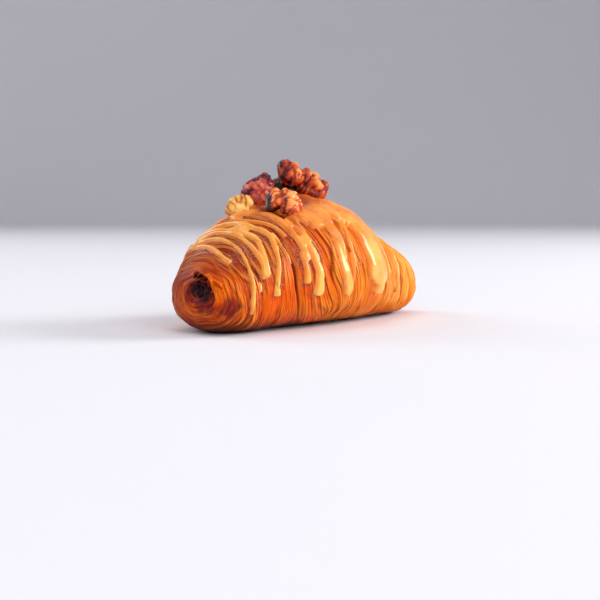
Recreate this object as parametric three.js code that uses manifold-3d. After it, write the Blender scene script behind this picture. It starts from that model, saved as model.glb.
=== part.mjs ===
// A straight-rolled croissant topped with poured caramel and candied pecans.
// Millimetres, +Z up. X runs along the roll from its near end (-X) to its far end (+X),
// and the origin is the middle of the footprint, on the surface that the croissant rests on.

import * as THREE from 'three';
import { mergeVertices } from 'three/addons/utils/BufferGeometryUtils.js';
import Module from 'manifold-3d';

// ---------------------------------------------------------------- driving dimensions

const HALF_LENGTH = 74;
const AROUND = 32; // facets round the roll
const ALONG = 64; // rings from tip to tip
const GAP = 0.3; // clearance between touching pieces
const PUDDLE_AROUND = 20;
const PUDDLE_RINGS = 10;
const PUDDLE_FULLNESS = 0.6; // below 1, a puddle is flat on top with a round edge
const LOBE_SIDES = 9;
const LOBE_CAP_RINGS = 3;

// The roll's outline: share of the half length, height, half width and sideways drift.
const STATIONS = [
  { t: -1.0, height: 26.5, halfWidth: 20.5, drift: -3.5 },
  { t: -0.75, height: 39.3, halfWidth: 27, drift: -1 },
  { t: -0.45, height: 50, halfWidth: 33, drift: 0.6 },
  { t: -0.15, height: 55.8, halfWidth: 38, drift: 1 },
  { t: 0.15, height: 53, halfWidth: 36, drift: 1 },
  { t: 0.45, height: 42.3, halfWidth: 29, drift: 0.6 },
  { t: 0.75, height: 34.2, halfWidth: 22, drift: -0.3 },
  { t: 1.0, height: 27, halfWidth: 17, drift: -1 },
];

// Where the rings of each end close up, and how blunt that end is.
const NEAR_TIP = { y: -9, z: 20.5, bluntness: 12 };
const FAR_TIP = { y: -1, z: 14.5, bluntness: 9 };

const WAIST = 0.45; // height of the widest point as a share of the section
const BASE_SINK = 1.6; // depth pressed flat where the dough baked on the tray
const SIDE_FULLNESS = 0.92;

// Creases between the wraps of dough: place along the roll, and depth.
const CREASES = [
  { x: -62.5, depth: 0.9 },
  { x: -56.5, depth: 0.7 },
  { x: -40.7, depth: 1.3 },
  { x: -30, depth: 0.4 },
  { x: -17, depth: 1.0 },
  { x: 17.5, depth: 1.6 },
  { x: 28, depth: 1.1 },
  { x: 41, depth: 1.1 },
  { x: 53, depth: 0.8 },
];
const CREASE_WIDTH = 2.2;

// The caramel: a wide pool on the crown, the mound that holds the nuts, and the broad sheet and tongue
// that leave the pool at the front. Angles are degrees from the top, negative towards -Y.
const PUDDLES = [
  { x: -5, angle: -4, halfLength: 25, halfAngle: 45, thickness: 1.7, sink: 2.5 },
  { x: -9.5, angle: 3, halfLength: 13.5, halfAngle: 22, thickness: 3.4, sink: 2.5 },
  { x: 9.5, angle: -60, halfLength: 8.7, halfAngle: 32, thickness: 1.5, sink: 2 },
  { x: 12.8, angle: -92, halfLength: 3.9, halfAngle: 14, thickness: 2, sink: 2 },
];
// Runs of caramel down the rings of the roll: the route as [angle, x] from front to back, the half
// width, and how far the run stands above the crust.
const RUNS = [
  { route: [[-33, -62.5], [-8, -60.5], [22, -58.2], [46, -51]], radius: 1.1, height: 1 },
  {
    route: [[-121, -57.5], [-90, -60], [-61, -59], [-33, -57], [2, -54], [26, -54.5], [84, -49]],
    radius: 1,
    height: 0.9,
  },
  { route: [[-71, -54], [-40, -52.5], [-15, -51], [20, -50], [52, -51]], radius: 1.1, height: 0.9 },
  {
    route: [[-74, -53.5], [-50, -50.5], [-32, -47.5], [-10, -49], [40, -47]],
    radius: 1.5,
    height: 1.1,
  },
  { route: [[-95, -48.5], [-62, -46], [-36, -42.5], [-16, -44], [92, -44]], radius: 1.4, height: 1.1 },
  { route: [[-69, -39.5], [-52, -39.5], [-36, -41.5]], radius: 0.9, height: 0.8 },
  {
    route: [[-71, -32.5], [-55, -32.5], [-40, -34.5], [-13, -33.5], [30, -35], [74, -37]],
    radius: 1.9,
    height: 1.2,
  },
  {
    route: [[-104, -27.2], [-66, -28.5], [-50, -29.5], [-30, -26], [20, -27], [96, -29]],
    radius: 2.3,
    height: 1.5,
  },
  { route: [[-90, -33.5], [-66, -34.5], [-58, -32.5]], radius: 1.3, height: 1.2 },
  {
    route: [[-108, -11], [-95, -12.8], [-80, -14.2], [-60, -14.8], [-36, -17]],
    radius: 2.7,
    height: 1.3,
  },
  { route: [[-107, -8.5], [-84, -9], [-65, -9.2], [-52, -7.5], [-30, -8]], radius: 1.2, height: 0.9 },
  { route: [[10, -20], [60, -21], [108, -19]], radius: 1.6, height: 1.2 },
  { route: [[10, -13], [70, -13], [88, -12]], radius: 1.2, height: 1 },
  { route: [[10, -3], [60, -4], [112, -1]], radius: 2.1, height: 1.3 },
  { route: [[10, 6], [60, 6], [94, 9]], radius: 2.6, height: 1.3 },
  { route: [[10, 13], [60, 15], [104, 18]], radius: 1.4, height: 1.1 },
];
const STEP_ANGLE = 15; // degrees between the sections of a run
const RUN_ARC_SEGMENTS = 3; // half the sides of a run's section
// A trickle along the crown that the near runs leave from.
const CROWN_TRICKLE = { from: -61, to: -28, radius: 1.4, height: 1.2, steps: 9 };

// Candied pecans: centre, long axis, the way the ridged face looks, and lobes as
// [along, across, out] to [along, across, out] with a radius, all in the nut's own axes.
const NUTS = [
  {
    name: 'pecan_half_top',
    centre: [0.3, 0.8, 65],
    along: [0.59, -0.665, -0.452],
    facing: [-0.74, -0.64, 0.2],
    colour: 0x9a3e17,
    lobes: [
      { from: [-7, 0, 0], to: [7, 0, 0], radius: 4.4 },
      { from: [-9.4, 1.2, 0], to: [-7.2, -2.2, 0.4], radius: 4.3 },
      { from: [-6.2, 3.2, 2.2], to: [-1.6, -1.4, 3.4], radius: 2.4 },
      { from: [-0.3, 3.8, 1.6], to: [3.6, 0.4, 2.8], radius: 2.1 },
      { from: [4, 3.6, 1.4], to: [8, 0, 2.8], radius: 2.2 },
      { from: [2, -3.6, 0.6], to: [9, -3.2, 0.6], radius: 3.2 },
      { from: [9.4, 1.4, 0], to: [10, -2.4, 0.4], radius: 3.4 },
    ],
  },
  {
    name: 'pecan_half_front',
    centre: [-26.6, -11.8, 54.6],
    along: [0.12, -0.83, -0.54],
    facing: [-0.55, -0.5, 0.67],
    colour: 0xb4571f,
    lobes: [
      { from: [-3, -2, -1.5], to: [5, 1.4, -1.5], radius: 3.4 },
      { from: [-6.2, -1.8, -0.6], to: [-2, -6.2, -0.6], radius: 2.5 },
      { from: [-5.6, 0.6, 0.8], to: [-1.3, -2.6, 1.2], radius: 2.7 },
      { from: [-2.6, 2.4, 1.4], to: [6, -2.4, 1.2], radius: 2.2 },
      { from: [0.9, 3.3, 1.5], to: [7.2, -0.1, 1], radius: 2.1 },
      { from: [-3.6, 4.8, 0], to: [0.1, 5.9, 0.2], radius: 2.1 },
      { from: [0.1, 5.9, 0.2], to: [6.2, 3.2, 0.2], radius: 2.1 },
    ],
  },
  {
    name: 'pecan_half_back',
    centre: [-19, 9.5, 60.5],
    along: [0.62, -0.55, 0.56],
    facing: [-0.6, -0.6, 0.53],
    colour: 0x6b2530,
    lobes: [
      { from: [-4, 1, -0.5], to: [3, 0.5, -0.5], radius: 4.2 },
      { from: [-3.6, 4.2, -1], to: [4.6, 3.6, -1], radius: 3.1 },
      { from: [-6.4, 2.8, 0], to: [-4.6, 3, 0], radius: 2.3 },
      { from: [-4.2, 3.2, 2], to: [2.4, 0.8, 2.6], radius: 1.9 },
      { from: [2, 0.6, 2], to: [-4.6, -3.2, 2], radius: 2.3 },
      { from: [2.2, -2.6, 0.8], to: [-3.4, -4.8, 1], radius: 2.7 },
      { from: [-6.4, -3.6, 3.4], to: [-2.6, -7, 3.8], radius: 2.4 },
      { from: [-2, -6.6, 3.4], to: [2.4, -5.4, 3], radius: 2.3 },
    ],
  },
  {
    name: 'pecan_piece_pale',
    centre: [-31, 10, 53.4],
    along: [0.7, -0.5, 0.5],
    facing: [-0.6, -0.7, 0.4],
    colour: 0xe0b26a,
    lobes: [
      { from: [-3, 1, 0], to: [2.6, -0.3, 0], radius: 3.7 },
      { from: [-3.4, -1, 1.2], to: [-0.6, -3, 1.2], radius: 2.8 },
      { from: [-1.6, 2.6, 0.8], to: [1.6, 2, 0.8], radius: 2.5 },
    ],
  },
  {
    name: 'pecan_piece_small',
    centre: [-4, 12, 61.5],
    along: [0.7, -0.6, 0.3],
    facing: [-0.6, -0.6, 0.5],
    colour: 0x5a4a26,
    lobes: [
      { from: [-2.4, 0, 0], to: [1.8, 0.6, 0], radius: 3.4 },
      { from: [-2.2, 2.4, 0.6], to: [1.6, 2.4, 0.6], radius: 2.4 },
      { from: [-1, 0.4, 0], to: [6.5, -5, 0], radius: 3.4 },
    ],
  },
];

// ---------------------------------------------------------------- the roll's rule

// Smooth curve through the stations: a cubic between neighbours with matched slopes.
function stationValue(t, key) {
  const last = STATIONS.length - 1;
  const slope = (k) => (STATIONS[k + 1][key] - STATIONS[k][key]) / (STATIONS[k + 1].t - STATIONS[k].t);
  const span = (k) => STATIONS[k + 1].t - STATIONS[k].t;
  const tangent = (k) => {
    if (k === 0) return slope(0);
    if (k === last) return slope(last - 1);
    return (slope(k - 1) * span(k) + slope(k) * span(k - 1)) / (span(k) + span(k - 1));
  };
  let k = 0;
  while (k < last - 1 && t > STATIONS[k + 1].t) k += 1;
  const w = span(k);
  const s = (t - STATIONS[k].t) / w;
  return (
    (1 + 2 * s) * (1 - s) ** 2 * STATIONS[k][key] +
    s * (1 - s) ** 2 * w * tangent(k) +
    s * s * (3 - 2 * s) * STATIONS[k + 1][key] +
    s * s * (s - 1) * w * tangent(k + 1)
  );
}

function creaseDepth(x) {
  return CREASES.reduce((sum, c) => sum + c.depth * Math.exp(-(((x - c.x) / CREASE_WIDTH) ** 2)), 0);
}

const signedPower = (value, power) => Math.sign(value) * Math.abs(value) ** power;

// Point of the crust at t (-1 to 1 along the roll) and angle (0 at the top, quarter turn at +Y).
function crustPoint(t, angle) {
  const tip = t < 0 ? NEAR_TIP : FAR_TIP;
  const cap = Math.sqrt(Math.max(0, 1 - Math.abs(t) ** tip.bluntness));
  const crease = creaseDepth(HALF_LENGTH * t) * cap;
  const top = tip.z + (stationValue(t, 'height') - tip.z) * cap - crease;
  const bottom = tip.z * (1 - cap) - BASE_SINK * cap;
  const half = (stationValue(t, 'halfWidth') - crease) * cap;
  const middle = stationValue(t, 'drift') * cap + tip.y * (1 - cap);
  const waist = bottom + (top - bottom) * WAIST;
  const c = Math.cos(angle);
  const y = middle + half * signedPower(Math.sin(angle), SIDE_FULLNESS);
  const z = c > 0 ? waist + (top - waist) * c : waist + (waist - bottom) * c;
  return new THREE.Vector3(HALF_LENGTH * t, y, Math.max(z, 0));
}

// Outward direction at a point of the crust, from its neighbours along and around.
function crustNormal(t, angle) {
  const step = 0.004;
  const limit = 0.999;
  const before = crustPoint(Math.max(t - step, -limit), angle);
  const along = crustPoint(Math.min(t + step, limit), angle).sub(before);
  const around = crustPoint(t, angle + step * 4).sub(crustPoint(t, angle - step * 4));
  return along.cross(around).normalize();
}

function crustOffset(x, degrees, lift) {
  const t = x / HALF_LENGTH;
  const angle = THREE.MathUtils.degToRad(degrees);
  return crustPoint(t, angle).addScaledVector(crustNormal(t, angle), lift);
}

// ---------------------------------------------------------------- solids

const wasm = await Module();
wasm.setup();

function toSolid(geometry) {
  const bare = geometry.clone();
  bare.deleteAttribute('normal');
  bare.deleteAttribute('uv');
  const merged = mergeVertices(bare, 1e-4);
  return new wasm.Manifold(
    new wasm.Mesh({
      numProp: 3,
      vertProperties: new Float32Array(merged.attributes.position.array),
      triVerts: new Uint32Array(merged.index.array),
    }),
  );
}

// The largest connected body of a solid, as geometry: crumbs that a cut leaves are dropped.
function toGeometry(solid) {
  const whole = solid.decompose().sort((a, b) => b.volume() - a.volume())[0];
  const mesh = whole.getMesh();
  const geometry = new THREE.BufferGeometry();
  geometry.setAttribute('position', new THREE.BufferAttribute(mesh.vertProperties, 3));
  geometry.setIndex(new THREE.BufferAttribute(mesh.triVerts, 1));
  geometry.computeVertexNormals();
  return geometry;
}

// The roll as a sphere pulled onto the rule, its poles at the two tips, grown by an even skin.
function rollGeometry(grow) {
  const geometry = new THREE.SphereGeometry(1, AROUND, ALONG);
  const position = geometry.attributes.position;
  const point = new THREE.Vector3();
  for (let i = 0; i < position.count; i += 1) {
    point.fromBufferAttribute(position, i);
    const t = point.y;
    const angle = Math.atan2(-point.x, point.z);
    const crust = crustPoint(t, angle);
    if (grow > 0) crust.addScaledVector(growDirection(t, angle), grow);
    position.setXYZ(i, crust.x, crust.y, crust.z);
  }
  return geometry;
}

function growDirection(t, angle) {
  if (Math.abs(t) > 0.9999) return new THREE.Vector3(Math.sign(t), 0, 0);
  return crustNormal(t, angle);
}

// A puddle is a thin lens laid over the crown: its lower face is buried and cut away later.
function puddleGeometry(puddle) {
  const geometry = new THREE.SphereGeometry(1, PUDDLE_AROUND, PUDDLE_RINGS);
  const position = geometry.attributes.position;
  for (let i = 0; i < position.count; i += 1) {
    const up = position.getY(i);
    const x = puddle.x + puddle.halfLength * position.getX(i);
    const degrees = puddle.angle - puddle.halfAngle * position.getZ(i);
    const lift = up > 0 ? puddle.thickness * up ** PUDDLE_FULLNESS : puddle.sink * up;
    const point = crustOffset(x, degrees, GAP + lift);
    position.setXYZ(i, point.x, point.y, point.z);
  }
  return geometry;
}

function tubeGeometry(points, radius, steps) {
  const section = new THREE.Shape().absarc(0, 0, radius, 0, 2 * Math.PI);
  return new THREE.ExtrudeGeometry(section, {
    steps,
    curveSegments: RUN_ARC_SEGMENTS,
    bevelEnabled: false,
    extrudePath: new THREE.CatmullRomCurve3(points),
  });
}

// Where a route lies at an angle: straight between its neighbouring points.
function routePlace(route, degrees) {
  let k = 0;
  while (k < route.length - 2 && degrees > route[k + 1][0]) k += 1;
  const [start, end] = [route[k], route[k + 1]];
  return start[1] + ((end[1] - start[1]) * (degrees - start[0])) / (end[0] - start[0]);
}

function runGeometry({ route, radius, height }) {
  const front = route[0][0];
  const back = route[route.length - 1][0];
  const steps = Math.ceil((back - front) / STEP_ANGLE);
  const points = [];
  for (let k = 0; k <= steps; k += 1) {
    const degrees = back + ((front - back) * k) / steps;
    points.push(crustOffset(routePlace(route, degrees), degrees, height - radius));
  }
  return tubeGeometry(points, radius, steps);
}

function crownTrickleGeometry({ from, to, radius, height, steps }) {
  const points = [];
  for (let k = 0; k <= steps; k += 1) {
    points.push(crustOffset(from + ((to - from) * k) / steps, 0, height - radius));
  }
  return tubeGeometry(points, radius, steps);
}

// A nut is lobes melted together; grow widens every lobe by the same clearance.
function nutSolid({ centre, along, facing, lobes }, grow) {
  const long = new THREE.Vector3(...along).normalize();
  const across = new THREE.Vector3(...facing).cross(long).normalize();
  const out = long.clone().cross(across);
  const place = new THREE.Matrix4().makeBasis(long, across, out).setPosition(...centre);
  return lobes
    .map(({ from, to, radius }) => {
      const a = new THREE.Vector3(...from).applyMatrix4(place);
      const b = new THREE.Vector3(...to).applyMatrix4(place);
      const axis = b.clone().sub(a);
      const geometry = new THREE.CapsuleGeometry(radius + grow, axis.length(), LOBE_CAP_RINGS, LOBE_SIDES);
      const turn = new THREE.Quaternion().setFromUnitVectors(new THREE.Vector3(0, 1, 0), axis.normalize());
      geometry.applyQuaternion(turn);
      geometry.translate(...a.add(b).multiplyScalar(0.5).toArray());
      return toSolid(geometry);
    })
    .reduce((sum, lobe) => sum.add(lobe));
}

// ---------------------------------------------------------------- assembly

const croissant = new THREE.Group();
croissant.name = 'croissant';

function addPiece(name, geometry, colour, roughness) {
  const material = new THREE.MeshStandardMaterial({ color: colour, roughness, metalness: 0 });
  const mesh = new THREE.Mesh(geometry, material);
  mesh.name = name;
  croissant.add(mesh);
}

const crust = toSolid(rollGeometry(0));
const crustClearance = toSolid(rollGeometry(GAP));

// Each nut is trimmed by the crust and by the nuts placed before it.
let nutClearance = null;
for (const nut of NUTS) {
  let solid = nutSolid(nut, 0).subtract(crustClearance);
  if (nutClearance) solid = solid.subtract(nutClearance);
  addPiece(nut.name, toGeometry(solid), nut.colour, 0.35);
  const grown = nutSolid(nut, GAP);
  nutClearance = nutClearance ? nutClearance.add(grown) : grown;
}

const poured = [
  ...PUDDLES.map(puddleGeometry),
  ...RUNS.map(runGeometry),
  crownTrickleGeometry(CROWN_TRICKLE),
]
  .map(toSolid)
  .reduce((sum, solid) => sum.add(solid));
const glaze = poured.subtract(crustClearance).subtract(nutClearance);

addPiece('croissant_body', toGeometry(crust), 0xb5561a, 0.6);
addPiece('caramel_glaze', toGeometry(glaze), 0xd9933a, 0.25);

// The origin is the middle of the whole footprint.
const box = new THREE.Box3().setFromObject(croissant);
const middle = box.getCenter(new THREE.Vector3());
croissant.position.set(-middle.x, -middle.y, -box.min.z);

export default croissant;
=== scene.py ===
"""A straight-rolled croissant with poured caramel and candied pecans, in a plain pale studio.

Shapes are worked out in millimetres along the roll's own rule and turned into metres when a mesh is
made. X runs along the roll from its near, blunt end (-X) to its far, slimmer end (+X), +Z is up.
Angles round the roll are degrees from the top, negative towards -Y.
"""

import logging
import math
from dataclasses import dataclass, field
from enum import Enum
from functools import cached_property

import bpy
import numpy as np
from mathutils import Matrix, Vector


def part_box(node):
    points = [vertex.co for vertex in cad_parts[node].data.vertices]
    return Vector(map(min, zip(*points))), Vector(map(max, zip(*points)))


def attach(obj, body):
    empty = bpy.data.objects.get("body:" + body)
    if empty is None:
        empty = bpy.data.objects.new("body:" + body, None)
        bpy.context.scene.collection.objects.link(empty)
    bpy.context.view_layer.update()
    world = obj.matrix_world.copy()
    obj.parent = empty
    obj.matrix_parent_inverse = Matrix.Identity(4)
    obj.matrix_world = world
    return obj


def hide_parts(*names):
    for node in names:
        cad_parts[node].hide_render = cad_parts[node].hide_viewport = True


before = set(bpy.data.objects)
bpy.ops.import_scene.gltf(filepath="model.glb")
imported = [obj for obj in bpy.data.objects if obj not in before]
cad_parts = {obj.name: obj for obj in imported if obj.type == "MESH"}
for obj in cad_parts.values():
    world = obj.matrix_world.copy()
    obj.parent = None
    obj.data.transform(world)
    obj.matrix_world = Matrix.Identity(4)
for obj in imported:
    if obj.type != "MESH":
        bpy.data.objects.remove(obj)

MM = 0.001
BODY = "root"
log = logging.getLogger("croissant")


# ------------------------------------------------------------------------------------ small helpers


def linear(red: int, green: int, blue: int) -> tuple[float, float, float, float]:
    """Turns a display colour into the linear colour that a shader needs.

    Args:
        red: Red, 0 to 255.
        green: Green, 0 to 255.
        blue: Blue, 0 to 255.

    Returns:
        The linear colour with full alpha.
    """
    parts = [channel / 255 for channel in (red, green, blue)]
    lit = [c / 12.92 if c <= 0.04045 else ((c + 0.055) / 1.055) ** 2.4 for c in parts]
    return (lit[0], lit[1], lit[2], 1.0)


def smooth_step(low: float, high: float, value: np.ndarray) -> np.ndarray:
    """Eases from 0 at low to 1 at high.

    Args:
        low: Where the result is still 0.
        high: Where the result has become 1.
        value: Values to ease.

    Returns:
        The eased values, 0 to 1.
    """
    share = np.clip((value - low) / (high - low), 0, 1)
    return share * share * (3 - 2 * share)


@dataclass(frozen=True)
class Lumps:
    """Soft random hills in space: values on a seeded grid, eased between its corners."""

    seed: int
    grid: int = 32

    @cached_property
    def corners(self) -> np.ndarray:
        """Random corner values of the repeating grid."""
        return np.random.default_rng(self.seed).uniform(-1, 1, (self.grid,) * 3)

    def at(self, points: np.ndarray, size: float) -> np.ndarray:
        """Reads the hills at points.

        Args:
            points: Points in millimetres, shape (..., 3).
            size: Width of one hill in millimetres.

        Returns:
            Values between -1 and 1.
        """
        cell = points / size
        low = np.floor(cell).astype(int)
        part = cell - low
        ease = part * part * (3 - 2 * part)
        total = np.zeros(points.shape[:-1])
        for corner in np.ndindex(2, 2, 2):
            index = tuple(((low[..., k] + corner[k]) % self.grid) for k in range(3))
            weight = np.ones(points.shape[:-1])
            for k in range(3):
                weight = weight * (ease[..., k] if corner[k] else 1 - ease[..., k])
            total += weight * self.corners[index]
        return total


class Graph:
    """A node tree being wired: shader trees, shader groups and Geometry Nodes alike."""

    def __init__(self, tree: bpy.types.NodeTree) -> None:
        """Wraps an empty or cleared node tree."""
        self.tree = tree

    def put(self, kind: str, inputs: dict | None = None, **settings: object) -> bpy.types.Node:
        """Adds a node.

        Args:
            kind: The node's type name.
            inputs: Input name or index to a constant or to another node's output.
            **settings: Properties set before the inputs.

        Returns:
            The new node.
        """
        node = self.tree.nodes.new(kind)
        for key, value in settings.items():
            setattr(node, key, value)
        for key, value in (inputs or {}).items():
            self.feed(node.inputs[key], value)
        return node

    def feed(self, socket: bpy.types.NodeSocket, value: object) -> None:
        """Links an output to a socket, or sets the socket's own value."""
        if isinstance(value, bpy.types.NodeSocket):
            self.tree.links.new(value, socket)
        elif value is not None:
            socket.default_value = value

    def math(
        self, operation: str, a: object, b: object = None, c: object = None
    ) -> bpy.types.NodeSocket:
        """Adds a Math node and returns its output."""
        values = {k: v for k, v in enumerate((a, b, c)) if v is not None}
        return self.put("ShaderNodeMath", values, operation=operation).outputs[0]

    def vector(self, operation: str, a: object, b: object = None) -> bpy.types.NodeSocket:
        """Adds a Vector Math node and returns its vector output."""
        values = {k: v for k, v in enumerate((a, b)) if v is not None}
        return self.put("ShaderNodeVectorMath", values, operation=operation).outputs[0]

    def scaled(self, vector: object, amount: object) -> bpy.types.NodeSocket:
        """Multiplies a vector by a number."""
        node = self.put("ShaderNodeVectorMath", {0: vector}, operation="SCALE")
        self.feed(node.inputs["Scale"], amount)
        return node.outputs[0]

    def noise(
        self, vector: object, scale: object, detail: float = 2, roughness: float = 0.5
    ) -> bpy.types.NodeSocket:
        """Adds a three-dimensional noise and returns its grey value."""
        values = {"Vector": vector, "Scale": scale, "Detail": detail, "Roughness": roughness}
        return self.put("ShaderNodeTexNoise", values).outputs[0]

    def ease(
        self, value: object, low: object, high: object, start: object = 0.0, end: object = 1.0
    ) -> bpy.types.NodeSocket:
        """Eases a value from start at low to end at high, held outside that span."""
        values = {"Value": value, "From Min": low, "From Max": high, "To Min": start, "To Max": end}
        return self.put("ShaderNodeMapRange", values, interpolation_type="SMOOTHSTEP").outputs[0]

    def blend(self, share: object, first: object, second: object) -> bpy.types.NodeSocket:
        """Mixes two colours by a share and returns the colour."""
        node = self.put("ShaderNodeMix", data_type="RGBA", blend_type="MIX")
        for socket, value in ((0, share), (6, first), (7, second)):
            self.feed(node.inputs[socket], value)
        return node.outputs[2]

    def ramp(self, value: object, stops: list[tuple[float, tuple]]) -> bpy.types.NodeSocket:
        """Adds a colour ramp.

        Args:
            value: What the ramp reads, 0 to 1.
            stops: Position and linear colour of each stop.

        Returns:
            The colour output.
        """
        node = self.put("ShaderNodeValToRGB", {0: value})
        elements = node.color_ramp.elements
        while len(elements) < len(stops):
            elements.new(0.5)
        for element, (position, colour) in zip(elements, stops):
            element.position = position
            element.color = colour
        return node.outputs[0]


class SocketKind(Enum):
    """Kinds of socket that the trees here take and give."""

    GEOMETRY = "NodeSocketGeometry"
    NUMBER = "NodeSocketFloat"
    WHOLE = "NodeSocketInt"
    VECTOR = "NodeSocketVector"
    COLOUR = "NodeSocketColor"
    MATERIAL = "NodeSocketMaterial"
    OBJECT = "NodeSocketObject"


class GroupGraph(Graph):
    """A node group with named inputs and outputs."""

    def __init__(
        self, name: str, kind: str, inputs: dict[str, SocketKind], outputs: dict[str, SocketKind]
    ) -> None:
        """Makes the group and its two ends.

        Args:
            name: The group's name.
            kind: ShaderNodeTree or GeometryNodeTree.
            inputs: Input names and kinds, in order.
            outputs: Output names and kinds, in order.
        """
        super().__init__(bpy.data.node_groups.new(name, kind))
        self.identifiers: dict[str, str] = {}
        for label, socket in inputs.items():
            made = self.tree.interface.new_socket(label, in_out="INPUT", socket_type=socket.value)
            self.identifiers[label] = made.identifier
        for label, socket in outputs.items():
            self.tree.interface.new_socket(label, in_out="OUTPUT", socket_type=socket.value)
        self.given = self.put("NodeGroupInput").outputs
        self.result = self.put("NodeGroupOutput").inputs

    def give(self, label: str, value: object) -> None:
        """Wires a value to one of the group's outputs."""
        self.feed(self.result[label], value)


class GeometryGraph(GroupGraph):
    """A Geometry Nodes tree that takes a mesh and gives the finished, real mesh with its material."""

    def __init__(self, name: str, inputs: dict[str, SocketKind]) -> None:
        """Makes the tree with a geometry and a material input beside the named sizes."""
        ends = {"Geometry": SocketKind.GEOMETRY}
        every_input = {**ends, **inputs, "Material": SocketKind.MATERIAL}
        super().__init__(name, "GeometryNodeTree", every_input, ends)

    def attribute(self, name: str, kind: str = "FLOAT") -> bpy.types.NodeSocket:
        """Reads a named attribute of the geometry."""
        node = self.put("GeometryNodeInputNamedAttribute", data_type=kind)
        node.inputs["Name"].default_value = name
        return node.outputs["Attribute"]

    def position(self) -> bpy.types.NodeSocket:
        """The position of each point, in millimetres."""
        return self.scaled(self.put("GeometryNodeInputPosition").outputs[0], 1 / MM)

    def push(self, geometry: object, amount: object) -> bpy.types.NodeSocket:
        """Moves each point along its normal by an amount in millimetres."""
        normal = self.put("GeometryNodeInputNormal").outputs[0]
        offset = self.scaled(normal, self.math("MULTIPLY", amount, MM))
        return self.put("GeometryNodeSetPosition", {"Geometry": geometry, "Offset": offset}).outputs[0]

    def store(self, geometry: object, name: str, value: object) -> bpy.types.NodeSocket:
        """Keeps a number for each point under a name that the material reads."""
        node = self.put("GeometryNodeStoreNamedAttribute", data_type="FLOAT", domain="POINT")
        for label, item in (("Geometry", geometry), ("Name", name), ("Value", value)):
            self.feed(node.inputs[label], item)
        return node.outputs[0]

    def close(self, geometry: object) -> None:
        """Ends the tree: real mesh, smooth shading, material."""
        real = self.put("GeometryNodeRealizeInstances", {0: geometry}).outputs[0]
        soft = self.put("GeometryNodeSetShadeSmooth", {"Geometry": real}).outputs[0]
        dressed = self.put("GeometryNodeSetMaterial", {
            "Geometry": soft, "Material": self.given["Material"]})
        self.give("Geometry", dressed.outputs[0])

    def apply(
        self, piece: bpy.types.Object, material: bpy.types.Material, sizes: dict[str, object]
    ) -> None:
        """Runs the tree on a piece and keeps the result as the piece's own mesh.

        Args:
            piece: The object to work on; modifiers it already has run first.
            material: The finish that the tree sets.
            sizes: Values for the tree's named inputs.
        """
        modifier = piece.modifiers.new(self.tree.name, "NODES")
        modifier.node_group = self.tree
        modifier[self.identifiers["Material"]] = material
        for label, value in sizes.items():
            modifier[self.identifiers[label]] = value
        settle(piece)


def settle(piece: bpy.types.Object) -> None:
    """Turns a piece's modifiers into plain mesh and removes them."""
    bpy.context.view_layer.update()
    graph = bpy.context.evaluated_depsgraph_get()
    finished = bpy.data.meshes.new_from_object(piece.evaluated_get(graph))
    piece.modifiers.clear()
    piece.data = finished


def make_mesh(
    name: str, points: np.ndarray, faces: list, numbers: dict[str, np.ndarray] | None = None
) -> bpy.types.Object:
    """Makes a smooth mesh object from millimetre points.

    Args:
        name: The object's name.
        points: Vertices in millimetres, shape (n, 3).
        faces: Vertex indices of each face.
        numbers: Attribute names to one number or one vector for each vertex.

    Returns:
        The new object, linked to the scene.
    """
    mesh = bpy.data.meshes.new(name)
    mesh.from_pydata((points * MM).tolist(), [], faces)
    for label, values in (numbers or {}).items():
        is_vector = values.ndim == 2
        kind, slot = ("FLOAT_VECTOR", "vector") if is_vector else ("FLOAT", "value")
        stored = mesh.attributes.new(label, kind, "POINT")
        stored.data.foreach_set(slot, values.astype(np.float32).ravel())
    mesh.shade_smooth()
    piece = bpy.data.objects.new(name, mesh)
    bpy.context.scene.collection.objects.link(piece)
    return piece


def hand_in(piece: bpy.types.Object, node: str) -> None:
    """Puts a finished piece on the body, in place of its CAD node.

    Args:
        piece: The finished object.
        node: The CAD node that it stands for.
    """
    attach(piece, BODY)
    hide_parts(node)
    log.info("%s: %d faces for node %s", piece.name, len(piece.data.polygons), node)


# ------------------------------------------------------------------------------------ the roll's rule


@dataclass(frozen=True)
class Station:
    """The roll's outline at one place."""

    t: float
    height: float
    half_width: float
    drift: float


@dataclass(frozen=True)
class Tip:
    """Where the rings of one end close up, and how blunt that end is."""

    y: float
    z: float
    bluntness: float


@dataclass(frozen=True)
class Crease:
    """A groove between two wraps of dough, at x where it crosses the crown."""

    x: float
    depth: float
    width: float


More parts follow.
